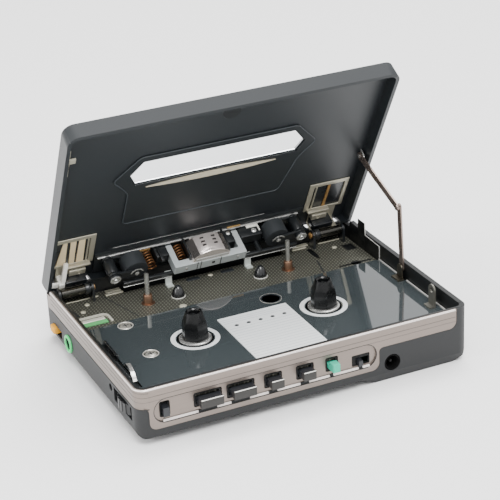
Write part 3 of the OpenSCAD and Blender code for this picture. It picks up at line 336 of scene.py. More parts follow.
def bar(a, b, r):
    """A block between two opposite corners, with rounded edges: a sphere of the edge radius in 13 rows of 28 points,
    its eighths pushed out to the block's corners."""
    n, m = 13, 28
    u = np.linspace(-math.pi / 2, math.pi / 2, n)[:, None]
    v = np.linspace(0, 2 * math.pi, m, endpoint=False) + math.pi / m
    d = xyz(np.cos(u) * np.cos(v), np.cos(u) * np.sin(v), np.sin(u))
    lo, hi = np.minimum(a, b), np.maximum(a, b)
    return skin((lo + hi) / 2 + np.sign(d) * ((hi - lo) / 2 - r) + d * r)


def bars(r, *boxes):
    """Blocks of one edge radius, each given by the six coordinates of two opposite corners."""
    return [bar(box[:3], box[3:], r) for box in boxes]


def headings(path, closed=False):
    """Unit directions along a path: the difference of each point's neighbours, made one long."""
    q = np.asarray(path, float)
    t = np.roll(q, -1, 0) - np.roll(q, 1, 0) if closed else np.gradient(q, axis=0)
    return unit(t)


def strip(path, side, w, t):
    """A flat band: a rectangle w across the given side and t thick, carried along a path square to it."""
    q, d = np.asarray(path, float), headings(path)
    across = np.broadcast_to(np.asarray(side, float), q.shape)
    up = unit(np.cross(d, across))
    k = np.array([(1, 1), (-1, 1), (-1, -1), (1, -1)]) / 2
    p = q[:, None] + k[:, :1] * w * across[:, None] + k[:, 1:] * t * up[:, None]
    return skin(p)


def tube(path, radius, sides=10, closed=False):
    """A round wire: a circle carried along a path, square to it."""
    q, d = np.asarray(path, float), headings(path, closed)
    ref = np.array([0.0, 0.0, 1.0]) if abs(d[:, 2]).max() < 0.95 else np.array([0.31, 0.92, 0.24])
    n = unit(np.cross(d, ref))
    b = np.cross(d, n)
    a = np.linspace(0, 2 * math.pi, sides, endpoint=False)[None, :, None]
    p = q[:, None] + radius * (np.cos(a) * n[:, None] + np.sin(a) * b[:, None])
    return skin(p, closed)


def outline(a0, a1, b0, b1, r, plane, level, n):
    """A rounded rectangle: quarter circles of radius r about its four corner centres, square to X or Y at a level."""
    t = (np.linspace(0, math.pi / 2, n) + np.arange(4)[:, None] * math.pi / 2).reshape(-1)
    ca = np.repeat([a1 - r, a0 + r, a0 + r, a1 - r], n)
    cb = np.repeat([b1 - r, b1 - r, b0 + r, b0 + r], n)
    a, b = ca + r * np.cos(t), cb + r * np.sin(t)
    return xyz(level, a, b) if plane == "X" else xyz(a, level, b)


def bezel(outer, inner, plane, level, depth, n=6):
    """A flat frame: an outer and an inner rounded outline and both pushed back by depth, joined round all four edges.
    Each outline is its two limits across, its two limits up and its corner radius."""
    a, b = (outline(*limits, plane, level, n) for limits in (outer, inner))
    push = np.array((depth, 0, 0) if plane == "X" else (0, depth, 0))
    return skin(np.stack([a, b, b + push, a + push]), closed=True)


def line(a, b, n):
    """Points spaced evenly on the straight line from a to b."""
    return np.linspace(np.asarray(a, float), np.asarray(b, float), n)


def rim_path(inset, z, right):
    """The line round the panel at a height: along the left side, round the corner and along the front."""
    r = CORNER_R - inset
    t = np.linspace(math.pi, 1.5 * math.pi, 12)
    corner = xyz(LEFT + CORNER_R + r * np.cos(t), FRONT + CORNER_R + r * np.sin(t), z)
    return np.concatenate([line((LEFT + inset, 40.6, z), corner[0], 40)[:-1], corner,
                           line(corner[-1], (right, FRONT + inset, z), 60)[1:]])


def put(name, data):
    """A new object in the scene."""
    o = bpy.data.objects.new(name, data)
    bpy.context.collection.objects.link(o)
    return o


def piece(name, parts, body, mat, sharp=38):
    """One object from one or more parts in millimetres: doubles merged, normals outwards, edges over an angle sharp."""
    counts = np.cumsum([0] + [len(p) for p, _ in parts])
    points = np.concatenate([p for p, _ in parts])
    points = on_lid(points) if body in LID_BODIES else points
    faces = [[k + c for k in f] for (_, fs), c in zip(parts, counts) for f in fs]
    mesh = bpy.data.meshes.new(name)
    mesh.from_pydata((points * MM).tolist(), [], faces)
    b = bmesh.new()
    b.from_mesh(mesh)
    bmesh.ops.remove_doubles(b, verts=b.verts, dist=1e-7)
    bmesh.ops.recalc_face_normals(b, faces=b.faces)
    b.to_mesh(mesh)
    b.free()
    mesh.polygons.foreach_set("use_smooth", np.full(len(mesh.polygons), True))
    mesh.set_sharp_from_angle(angle=math.radians(sharp))
    mesh.update()
    mesh.materials.append(mat)
    o = put(name, mesh)
    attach(o, body)
    return o


def set_stage():
    scene = bpy.context.scene
    reach = 4.0
    x, y = np.meshgrid((-reach, reach), (-reach, reach), indexing="ij")
    mesh = bpy.data.meshes.new("floor")
    mesh.from_pydata(xyz(x, y, 0).reshape(-1, 3).tolist(), [], [[0, 2, 3, 1]])
    floor = put("floor", mesh)
    # Matt paper: even and without gloss
    paper = clouded("matt paper backdrop", {"Roughness": 0.95, "Specular IOR Level": 0.1}, 2, 3.0,
                    (0.94, 0.94, 0.94, 1), (0.96, 0.96, 0.96, 1), 0.0, None)
    mesh.materials.append(paper)
    world = bpy.data.worlds.new("studio")
    world.use_nodes = True
    sky = world.node_tree.nodes["Background"]
    sky.inputs["Color"].default_value = (1, 1, 1, 1)
    sky.inputs["Strength"].default_value = 1.25
    scene.world = world
    for name, spot, aim, size, power in (
            ("key", (-0.1, -0.5, 0.85), (0, 0, 0.02), 0.55, 12.0),
            ("top", (0.3, 0.35, 1.0), (0, 0, 0.02), 0.6, 11.0),
            ("side", (-0.8, 0.0, 0.4), (0, 0, 0.03), 0.4, 3.5)):
        lamp = bpy.data.lights.new(name, "AREA")
        lamp.energy = power
        lamp.size = size
        light = put(name, lamp)
        light.location = spot
        away = np.array(spot) - np.array(aim)
        light.rotation_euler = (math.acos(away[2] / np.linalg.norm(away)), 0,
                                math.atan2(away[1], away[0]) + math.pi / 2)
    # Camera fitted to the photograph: its turn, height and roll in radians, its distance and side shifts in
    # millimetres, and its focal length in pixels of the photograph's width
    az, el, roll, dist = -0.4174756, 0.4328555, -0.04734, 521.3327
    shift_x, shift_y, focal, width, sensor = 3.13703, -21.44897, 1741.624, 500, 36.0
    back = np.array([math.sin(az) * math.cos(el), -math.cos(az) * math.cos(el), math.sin(el)])
    right = np.array([math.cos(az), math.sin(az), 0])
    up = np.cross(back, right)
    r = math.cos(roll) * right + math.sin(roll) * up
    u = -math.sin(roll) * right + math.cos(roll) * up
    c = (-shift_x * r - shift_y * u + dist * back + np.array([0, 0, DECK_Z])) * MM
    lens = bpy.data.cameras.new("camera")
    lens.sensor_fit = "HORIZONTAL"
    lens.sensor_width = sensor
    lens.lens = focal / width * sensor
    lens.clip_start = 0.01
    camera = put("camera", lens)
    camera.matrix_world = Matrix([tuple(row) for row in np.stack([r, u, back, c], -1)] + [(0, 0, 0, 1)])
    scene.camera = camera


class StageOperator(bpy.types.Operator):
    """Makes the pale floor, the soft studio lights and the camera at the photograph's view"""
    bl_idname = "player.stage"
    bl_label = "Stage"

    def execute(self, context):
        set_stage()
        return {"FINISHED"}


def dress_case():
    c = colours()
    paint(moulded("moulded ABS case", c.case, 0.55), "lower_case", "battery_door")
    soften(0.2, "battery_door")
    paint(brushed("printed cell jacket", "#c8c2a8", metal=0.6), "battery_cell")
    paint(plated("gilt spring brass", "#c2a55a"), "battery_contacts", "motor_pulley")
    paint(moulded("green glass epoxy board", "#3c6b4a", 0.5), "circuit_board")
    paint(brushed("drawn steel can", "#b4b4b0"), "motor", "pivot_posts")
    paint(rubber("neoprene belt", "#242424"), "drive_belt")
    black = moulded("black sheets and painted shade", "#0b0d0e", 0.38, 0.4, 0.006)
    # Thin linings on the right, rear and left walls, and along the top of the walls inside the panel
    top = RIM_Z + 0.03
    path = rim_path(1.2, top, 51.5)
    lining = bars(0.03, (51.9, -29.2, 11.9, 51.98, 40.8, 17.7), (-50.2, 45.5, 4.2, 51.8, 45.58, 15.8),
                  (-50.38, -29.0, 12.6, -50.3, 40.8, 17.7))
    lining += [strip(path, np.cross(headings(path), (0, 0, 1)), 0.8, 0.06),
               strip(line((52.5, -27.5, top), (52.5, 40.5, top), 30), (1, 0, 0), 1.0, 0.06)]
    piece("wall_lining", lining, "case", black)
    # Black sheets in the openings of the chassis, just below its face: painted shade where the case below is dark
    z0, z1 = PLATE_Z - 0.5, PLATE_Z - 0.12
    under = bars(0.05, (38.98, 22.88, z0, 50.42, 24.12, z1), (46.98, 32.98, z0, 50.62, 37.82, z1))
    slot = ((35.6, 40.6, z0), (37.3, 40.6, z0), (37.3, 35.0, z0), (36.4, 31.8, z0), (35.4, 34.6, z0))
    under += [turned([(0, z0), (1.72, z0), (1.72, z1), (0, z1)], (45.0, 23.5)), sheet(slot, z1 - z0)]
    piece("opening_shades", under, "case", black)
    # Bright edge low on the right wall, bent up round the rear upright
    x = 51.83
    bend = np.concatenate([line((x, 20.4, 13.0), (x, 20.4, 16.8), 8), line((x, 20.5, 17.0), (x, 29.6, 17.3), 12),
                           line((x, 29.8, 17.5), (x, 30.0, 21.4), 8)])
    rail = bars(0.1, (51.45, -27.0, 12.3, 51.75, 2.6, 12.85), (51.45, 7.6, 12.3, 51.75, 20.4, 12.85))
    piece("right_edge_rail", rail + [tube(bend, 0.13, 8)], "case",
          plated("rolled bright edge", "#d9d8d4", 0.3, metal=0.4))
    piece("right_upright", bars(0.08, (51.72, 30.0, 12.0, 51.9, 34.6, 21.4)), "case", black)


class CaseOperator(bpy.types.Operator):
    """Finishes the moulded case and what is inside it, and lines its inner walls in black"""
    bl_idname = "player.case"
    bl_label = "Case"

    def execute(self, context):
        dress_case()
        return {"FINISHED"}


def dress_panel():
    c, s = colours(), sizes()
    metal = brushed("brushed stainless panel", c.panel, 0.36, s.brush / MM, metal=0.75, contrast=0.12)
    paint(metal, "front_panel")
    soften(0.12, "front_panel")
    bright = plated("polished stainless edge", "#efe6e1", 0.16, metal=0.55)
    edge = tube(rim_path(0.2, RIM_Z - 0.22, 49.0), s.trim / MM, 12)
    piece("panel_edge", [edge], "case", bright)
    # Groove lines drawn as thin dark strips on the face: painted shade in the grooves
    grooves = [strip(rim_path(-0.015, z, end), (0, 0, 1), w, 0.05)
               for z, end, w in ((15.35, 49.0, 0.12), (13.9, 49.0, 0.06), (16.7, -49.2, 0.1))]
    dark = moulded("painted groove shade", "#4a4541", 0.5, 0.3, 0.004)
    piece("panel_grooves", grooves, "case", dark)
    # Dark joint round the panel's lower edge: straight runs joined by quarter circles
    q, y = np.linspace(0, math.pi / 2, 7), FRONT - 0.01
    bends = ((-50.0, 10.4, 1.2, math.pi / 2 - q), (-46.4, 7.1, 2.4, math.pi + q),
             (21.1, 7.1, 2.4, 1.5 * math.pi + q), (24.7, 10.4, 1.2, math.pi - q),
             (47.0, 14.0, 2.4, 1.5 * math.pi + q))
    arcs = [xyz(x + r * np.cos(t), y, z + r * np.sin(t)) for x, z, r, t in bends]
    joint = np.concatenate([rim_path(-0.01, 11.6, -50.3), *arcs, [(49.4, y, 17.7)]])
    shade = moulded("dark joint and painted shade", "#121314", 0.6, 0.3, 0.004)
    piece("panel_joint", [tube(joint, 0.13, 6)], "case", shade)
    # Bright lower slope of the recess, with a dark mark below each button: a painted reflection of the button in the
    # slope
    spans, x = [], -44.6
    for _, centre, w in BUTTONS:
        spans.append((x, centre - w / 2 + 0.2))
        x = centre + w / 2 - 0.9
    spans += [(x, 16.6), (17.9, 20.2)]
    gaps = [(a[1], b[0]) for a, b in zip(spans, spans[1:])]
    y, z = FRONT + 0.14, 6.98
    slope, marks = ([strip(line((a, y, z), (b, y, z), 6), (0, -0.45, -0.89), 0.7, 0.1) for a, b in runs]
                    for runs in (spans, gaps))
    piece("recess_slope", slope, "case", bright)
    # Dark outline round the recess: painted shade along its edges
    edge = bezel((-47.38, 22.58, 6.32, 13.98, 3.8), (-47.2, 22.4, 6.5, 13.8, 3.64), "Y", FRONT - 0.02, 0.3, 12)
    piece("recess_shade", marks + [edge], "case", shade)
    # Dark linings of the slots of the buttons, the open knob and the mode knob: painted shade in the gaps round them
    slots = [[(x - w / 2 - g, x + w / 2 + g, BUTTON_LOW - g, BUTTON_TOP + g, r)
              for g, r in ((0.95, 0.5), (0.25, 0.1))] for _, x, w in BUTTONS]
    slots += [((-45.5, -42.2, 7.9, 12.9, 0.6), (-45.05, -42.65, 8.3, 12.7, 0.1)),
              ((14.55, 20.45, 7.55, 11.15, 0.5), (15.95, 20.3, 7.66, 10.0, 0.02))]
    piece("slot_gap_shade", [bezel(outer, inner, "Y", FRONT + 0.8, 0.05) for outer, inner in slots], "case",
          gloss("painted shade of the slot gaps", "#030303", 0.7, 0.0))


class PanelOperator(bpy.types.Operator):
    """Finishes the brushed control panel and adds its polished edge, painted shade in its grooves, slot gaps and round
    its recess, and the bright ledge with painted reflections of the buttons
    """
    bl_idname = "player.panel"
    bl_label = "Control panel"

    def execute(self, context):
        dress_panel()
        return {"FINISHED"}


def dress_controls():
    c = colours()
    pushed = [name + "_button" for name, _, _ in BUTTONS]
    grey = brushed("satin painted die casting", c.button, 0.3, 0.4, metal=0.2, contrast=0.14)
    paint(grey, *pushed[:4], "open_knob", "mode_knob")
    paint(gloss("green acetal", c.go, 0.55, 0.0, 0.04, ior=1.35), "direction_button")
    paint(gloss("orange acetal", c.slider, 0.55, 0.0, 0.04, ior=1.35), "tone_slider")
    paint(moulded("knurled black acetal", "#0d0f10", 0.3), "volume_wheel")
    soften(0.35, *pushed, segments=3)
    soften(0.6, "tone_slider", segments=4)
    soften(0.2, "open_knob", "mode_knob")
    face = brushed("brushed button face", "#242220", 0.55, 0.3, metal=0.0, contrast=0.14)
    lip = plated("painted highlight on button edges", "#e4e2dc", 0.2, metal=0.4)
    # Each of the first four push buttons gets a dark brushed face and a pale strip along its top front edge: a painted
    # highlight
    for name, x, w in BUTTONS[:4]:
        a, b = x - w / 2, x + w / 2
        piece(name + "_face", bars(0.12, (a - 0.02, -34.05, BUTTON_LOW - 0.02, b + 0.02, -33.5, BUTTON_TOP + 0.02)),
              name + "_button", face)
        piece(name + "_edge", bars(0.1, (a + 0.05, -34.09, BUTTON_TOP - 0.2, b - 0.05, -33.8, BUTTON_TOP + 0.05)),
              name + "_button", lip)
    # Black faces on the plates that slide behind the slots: painted shade in the slot round each knob
    black = gloss("painted shade behind the knobs", "#030303", 0.7, 0.0)
    y, x = FRONT + 1.75, LEFT + 1.72
    for name, body, outer, inner, plane, level in (
            ("open", "open_knob", (-45.7, -42.0, 6.6, 12.6, 0.2), (-44.82, -42.88, 8.48, 11.32, 0.05), "Y", y),
            ("mode", "mode_knob", (15.55, 18.25, 7.2, 10.4, 0.2), (16.18, 17.62, 7.83, 9.77, 0.05), "Y", y),
            ("tone", "tone_slider", (35.85, 40.95, 4.35, 8.25, 0.2), (36.55, 40.25, 5.05, 7.55, 0.05), "X", x)):
        piece(name + "_slide_face", [bezel(outer, inner, plane, level, 0.06)], body, black)
    # Ring and bore of the phone jack, well and pin of the power jack: radii, and places along the jack's axis
    ring = [(1.95, -51.6), (1.95, -52.3), (2.1, -52.55), (2.45, -52.64), (2.75, -52.55), (2.88, -52.3),
            (2.88, -52.02), (2.5, -51.9), (2.5, -51.6)]
    jade = gloss("green nylon jack", c.jack, 0.3, 0.1, 0.04)
    phone = piece("phone_jack", [turned(ring, PHONE_JACK, "X")], "case", jade)
    # The bore is coloured a darker green than the ring: painted shade inside the jack
    bore = [(0, -47.2), (1.81, -47.2), (1.81, -52.1), (2.0, -52.2), (2.5, -51.8), (2.5, -46.4), (0, -46.4)]
    piece("phone_bore", [turned(bore, PHONE_JACK, "X")], "case",
          gloss("green bore with painted shade", "#0b3a20", 0.5, 0.0))
    well = [(0, -26.5), (2.06, -26.5), (2.06, -30.85), (2.16, -31.0), (2.45, -31.02), (2.58, -30.9), (2.58, -26.0),
            (0, -26.0)]
    phenolic = gloss("black phenolic jack", "#020202", 0.8, 0.0, ior=1.25)
    power = piece("power_jack", [turned(well, POWER_JACK, "Y")], "case", phenolic)
    # The steel pin is coloured near black: painted shade in the jack's well
    pin = [(0, -26.4), (0.5, -26.4), (0.5, -29.6), (0.35, -29.9), (0, -29.9)]
    piece("power_pin", [turned(pin, POWER_JACK, "Y", 24)], "case",
          plated("steel pin painted dark as shade", "#101010", 0.6, metal=0.3))
    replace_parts(phone, "jacks")
    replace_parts(power, "jacks")


class ControlsOperator(bpy.types.Operator):
    """Finishes the buttons, knobs, slider and wheel, and makes the two jacks"""
    bl_idname = "player.controls"
    bl_label = "Controls"

    def execute(self, context):
        dress_controls()
        return {"FINISHED"}


def dress_deck():
    c, s = colours(), sizes()
    paint(embossed("embossed plated steel", c.chassis, s.emboss), "chassis_plate")
    paint(gloss("smoked polystyrene cover", c.cover, 0.05, 1.0, 0.05, ior=1.7), "deck_cover")
    label = brushed("satin aluminium label", c.label, 0.42, 0.3, along="X", metal=0.1, contrast=0.05)
    paint(label, "label_plate")
    black = gloss("black acetal", "#101214", 0.22, 0.4)
    paint(black, "cable_guide")
    paint(gloss("dark cover plug", "#23282b", 0.2, 0.5), "cover_plug")
    paint(gloss("green polystyrene", "#58a866", 0.35, 0.0, 0.04), "indicator_strip")
    paint(gloss("black keeper plate", "#16191b", 0.25, 0.3), "latch_keeper")
    paint(brushed("zinc plated tab", "#c3c9c5", 0.4, metal=0.35, contrast=0.08), "guide_tabs")
    paint(brushed("dark nickel lug", "#6b6a63", 0.35, metal=0.6, contrast=0.08), "side_lug")
    soften(0.15, "deck_cover", "guide_tabs", "latch_keeper", "cable_guide")
    # Locating pins: a flat collar round a black cone
    z = PLATE_Z
    collar = [(1.7, z - 0.1), (2.3, z - 0.1), (2.3, z + 0.18), (2.2, z + 0.28), (1.7, z + 0.32)]
    white = moulded("white acetal collar", "#a8a8a2", 0.4, 0.4, 0.006)
    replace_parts(piece("collars", [turned(collar, p) for p in PINS], "case", white), "pin_collars")
    cone = [(0, 12.0), (2.05, 12.0), (2.08, 12.4), (1.95, 13.0), (1.6, 13.9), (1.2, 14.7), (0.8, 15.25),
            (0.4, 15.48), (0, 15.5)]
    cones = [turned(cone, p) for p in PINS]
    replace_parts(piece("pin_cones", cones, "case", black), "locating_pins")
    # Prints on the cover and the label: rings round the spindles and lines; dark discs in the label's holes are painted
    # shade
    ink = moulded("white screen ink", "#d5d8d8", 0.5, 0.3, 0.004)
    dark = moulded("dark painted shade", "#1b1f22", 0.5, 0.3, 0.004)
    blue = moulded("blue-grey screen ink", "#a9b0b8", 0.5, 0.3, 0.002)
    a, b, low, top = s.ring_in / MM, s.ring_out / MM, DECK_Z - 0.1, DECK_Z + 0.03
    for side, sign in SIDES:
        ring = turned([(a, low), (a, top), (b, top), (b, low)], (sign * SPINDLE_X, 0), steps=96)
        piece("printed_ring_" + side, [ring], "case", ink)
    top = DECK_Z + 0.26
    rows = np.concatenate([np.arange(5.6, 2.0, -1.2), np.arange(-0.8, -21.0, -1.55)])
    lines = [strip(line((-10.7, y, top), (11.5, y, top), 4), (0, 1, 0), 0.13, 0.03) for y in rows]
    piece("label_lines", lines, "case", blue)
    # Dark discs filling the label's holes: painted shade
    dot = [(0, DECK_Z), (0.62, DECK_Z), (0.62, top + 0.01), (0, top + 0.02)]
    dots = [turned(dot, (x, 1.0), steps=20) for x in np.linspace(-7.3, 8.5, 5)]
    piece("label_dots", dots, "case", dark)
    # Cross-slotted screw heads: a low dome in the cover's seat, with two dark bars across it as painted shade in the
    # slots, and a ring round it
    head = [(0, 11.6), (1.8, 11.6), (1.8, 12.1), (1.65, 12.38), (1.2, 12.55), (0, 12.62)]
    screw = plated("nickel plated screw", "#c4c1b8", 0.22, metal=0.7)
    heads = [turned(head, p, steps=40) for p in SCREWS]
    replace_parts(piece("screw_heads", heads, "case", screw), "deck_screws")
    cross = bars(0.05, *((x - a, y - b, 12.4, x + a, y + b, 12.64)
                         for x, y in SCREWS for a, b in ((0.95, 0.17), (0.17, 0.95))))
    piece("screw_slots", cross, "case", dark)
    seat = [(2.1, 12.2), (2.1, 12.52), (2.18, 12.6), (2.36, 12.6), (2.46, 12.5), (2.46, 12.2)]
    rings = [turned(seat, p, steps=40) for p in SCREWS]
    rings.append(turned([(3.3, 12.3), (3.3, 12.56), (3.42, 12.56), (3.42, 12.3)], (9.4, 12.5), steps=64))
    piece("screw_rings", rings, "case", plated("nickel ring", "#d6d3ca", 0.2, metal=0.5))
    # Latch hook: a flat chrome strip that rises out of its channel, bows over and dips again
    t = np.linspace(0, 1, 30)
    hook = xyz(-45.3 - 1.4 * t, -5.0 - 11.0 * t, 12.3 + 2.3 * np.sin(math.pi * t) ** 0.8 + 0.3 * t)
    piece("latch_hook", [strip(hook, (1, 0, 0), 1.15, 0.35)], "case",
          plated("bright chrome", "#dcdad6", 0.1, metal=0.8))
    # Pale frame round the green strip, and pressed trim on the rear of the chassis
    t, top = np.linspace(math.pi / 2, 0, 8), z + 0.3
    bow = np.concatenate([line((-47.8, 29.3, top), (-40.0, 29.3, top), 8)[:-1],
                          xyz(-40.0 + 1.7 * np.cos(t), 27.6 + 1.7 * np.sin(t), top),
                          line((-38.3, 27.6, top), (-38.3, 24.0, top), 6)[1:]])
    trim = [strip(bow, np.cross(headings(bow), (0, 0, 1)), 0.75, 0.5)]
    trim += bars(0.2, (-47.6, 26.5, z - 0.1, -39.5, 28.2, top))
    piece("strip_frame", trim, "case", plated("bright pressed frame", "#dedcce", 0.25, metal=0.4))
    low, top = z - 0.2, z + 0.35
    steps = bars(0.15, (-33.9, 41.1, low, -28.1, 42.3, top), (-33.2, 42.7, low, -28.3, 44.6, top),
                 (31.2, 41.4, low, 36.2, 42.4, top), (32.0, 42.8, low, 37.6, 44.6, top))
    steps += bars(0.1, (-46.6, 42.2, low, -36.0, 42.8, z + 0.2), (41.0, 42.2, low, 50.4, 42.8, z + 0.2))
    stud = [(0.9, z - 0.1), (0.8, z + 0.15), (0.4, z + 0.3), (0, z + 0.34)]
    steps += [turned(stud, p, steps=20) for p in ((-41.2, 38.4), (-44.0, 34.2), (44.4, 37.4), (0.7, 38.8))]
    steps.append(turned([(1.2, z - 0.1), (1.2, z + 0.35), (0.8, z + 0.6), (0, z + 0.66)], (-15.7, 22.3), steps=28))
    piece("chassis_trim", steps, "case", plated("bright pressed step", "#d8d4bf", 0.22, metal=0.5))
    # Painted shade in the folds and holes of the chassis, and in the holes of the guide tabs
    top = z + 0.01
    shade = [strip(line((-34.6, 40.4, top), (-30.0, 23.2, top), 8), (0.97, 0.25, 0), 0.3, 0.06),
             strip(line((34.9, 31.2, top), (32.6, 21.6, top), 8), (0.97, -0.25, 0), 0.5, 0.06),
             strip(line((-47.0, 36.3, top), (-46.2, 31.8, top), 6), (0.98, 0.18, 0), 0.9, 0.08)]
    shade += bars(0.12, (-7.6, 37.7, z - 0.1, -3.2, 39.5, z + 0.3), (4.4, 37.7, z - 0.1, 8.6, 39.5, z + 0.3))
    shade += [turned([(0.4, 38.25), (0.4, 38.29), (0, 38.28)], (x, 14.9), "Y", 16) for x in (-13.7, 13.7)]
    piece("chassis_shades", shade, "case", dark)


class DeckOperator(bpy.types.Operator):
    """Finishes the chassis plate, deck cover and label, and makes the pins, screws, prints, trim and latch hook"""
    bl_idname = "player.deck"
    bl_label = "Deck"

    def execute(self, context):
        dress_deck()
        return {"FINISHED"}


def dress_drive():
    z = PLATE_Z
    bush = [(0.95, 10.5), (1.4, 10.5), (1.4, z), (2.15, z), (2.15, z + 0.12), (2.1, z + 0.16), (1.41, z + 0.17),
            (1.4, 14.55), (1.28, 14.72), (0.95, 14.75)]
    bronze = plated("sintered bronze", colours().bronze, 0.26, 1.5, metal=0.9)
    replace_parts(piece("bushes", [turned(bush, p) for p in BUSHES], "case", bronze), "capstan_bushes")
    paint(plated("ground steel shaft", "#b0b0aa", 0.2, metal=0.8), "capstan_left", "capstan_right")
    black = gloss("black glass-filled nylon", "#040506", 0.24, 0.15, ior=1.38)
    bright = plated("turned bright flange", "#cfcfcc", 0.15, metal=0.85)
    # Lobed spindle: a turned profile whose circle leans towards a hexagon over its lower part. The rows are the
    # height above the deck, the radius and the share of the hexagon, from the foot to inside the cup
    h, r, k = (np.interp(np.linspace(0, 12, 61), np.arange(13), row)[:, None] for row in (
        (-0.6, 0.3, 0.6, 4.4, 6.2, 7.6, 8.5, 8.9, 9.0, 8.9, 8.5, 7.6, 7.6),
        (3.9, 4.0, 4.1, 4.0, 3.55, 2.95, 2.6, 2.45, 2.2, 1.95, 1.6, 1.4, 0.0),
        (0.2, 0.4, 0.6, 0.9, 0.9, 0.5, 0.15, 0, 0, 0, 0, 0, 0)))
    t = np.linspace(0, 2 * math.pi, 96, endpoint=False)
    six = math.cos(math.pi / 6) / np.cos(np.mod(t, math.pi / 3) - math.pi / 6)
    radius, turn = r * (1 - k + k * six), t + 0.35
    flange = [(3.0, 11.9), (4.9, 11.9), (5.0, 12.4), (4.9, 12.75), (4.6, 12.95), (4.3, 13.0), (3.0, 13.0)]
    gear = [(1.9, 8.9), (7.2, 8.9), (7.4, 9.1), (7.4, 9.9), (7.2, 10.1), (4.0, 10.1), (4.0, 12.0), (1.9, 12.0)]
    for side, sign in SIDES:
        x, body = sign * SPINDLE_X, "reel_" + side
        lobes = xyz(x + radius * np.cos(turn), radius * np.sin(turn), DECK_Z + h)
        core = piece("spindle_" + side, [skin(lobes)], body, black, sharp=24)
        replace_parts(core, "reel_" + side)
        piece("flange_" + side, [turned(flange, (x, 0), steps=72)], body, bright)
        piece("reel_gear_" + side, [turned(gear, (x, 0), steps=72)], body, black)


class DriveOperator(bpy.types.Operator):
    """Finishes the capstans, and makes their bushes and the lobed reel spindles with their bright flanges"""
    bl_idname = "player.drive"
    bl_label = "Tape drive"

    def execute(self, context):
        dress_drive()
        return {"FINISHED"}


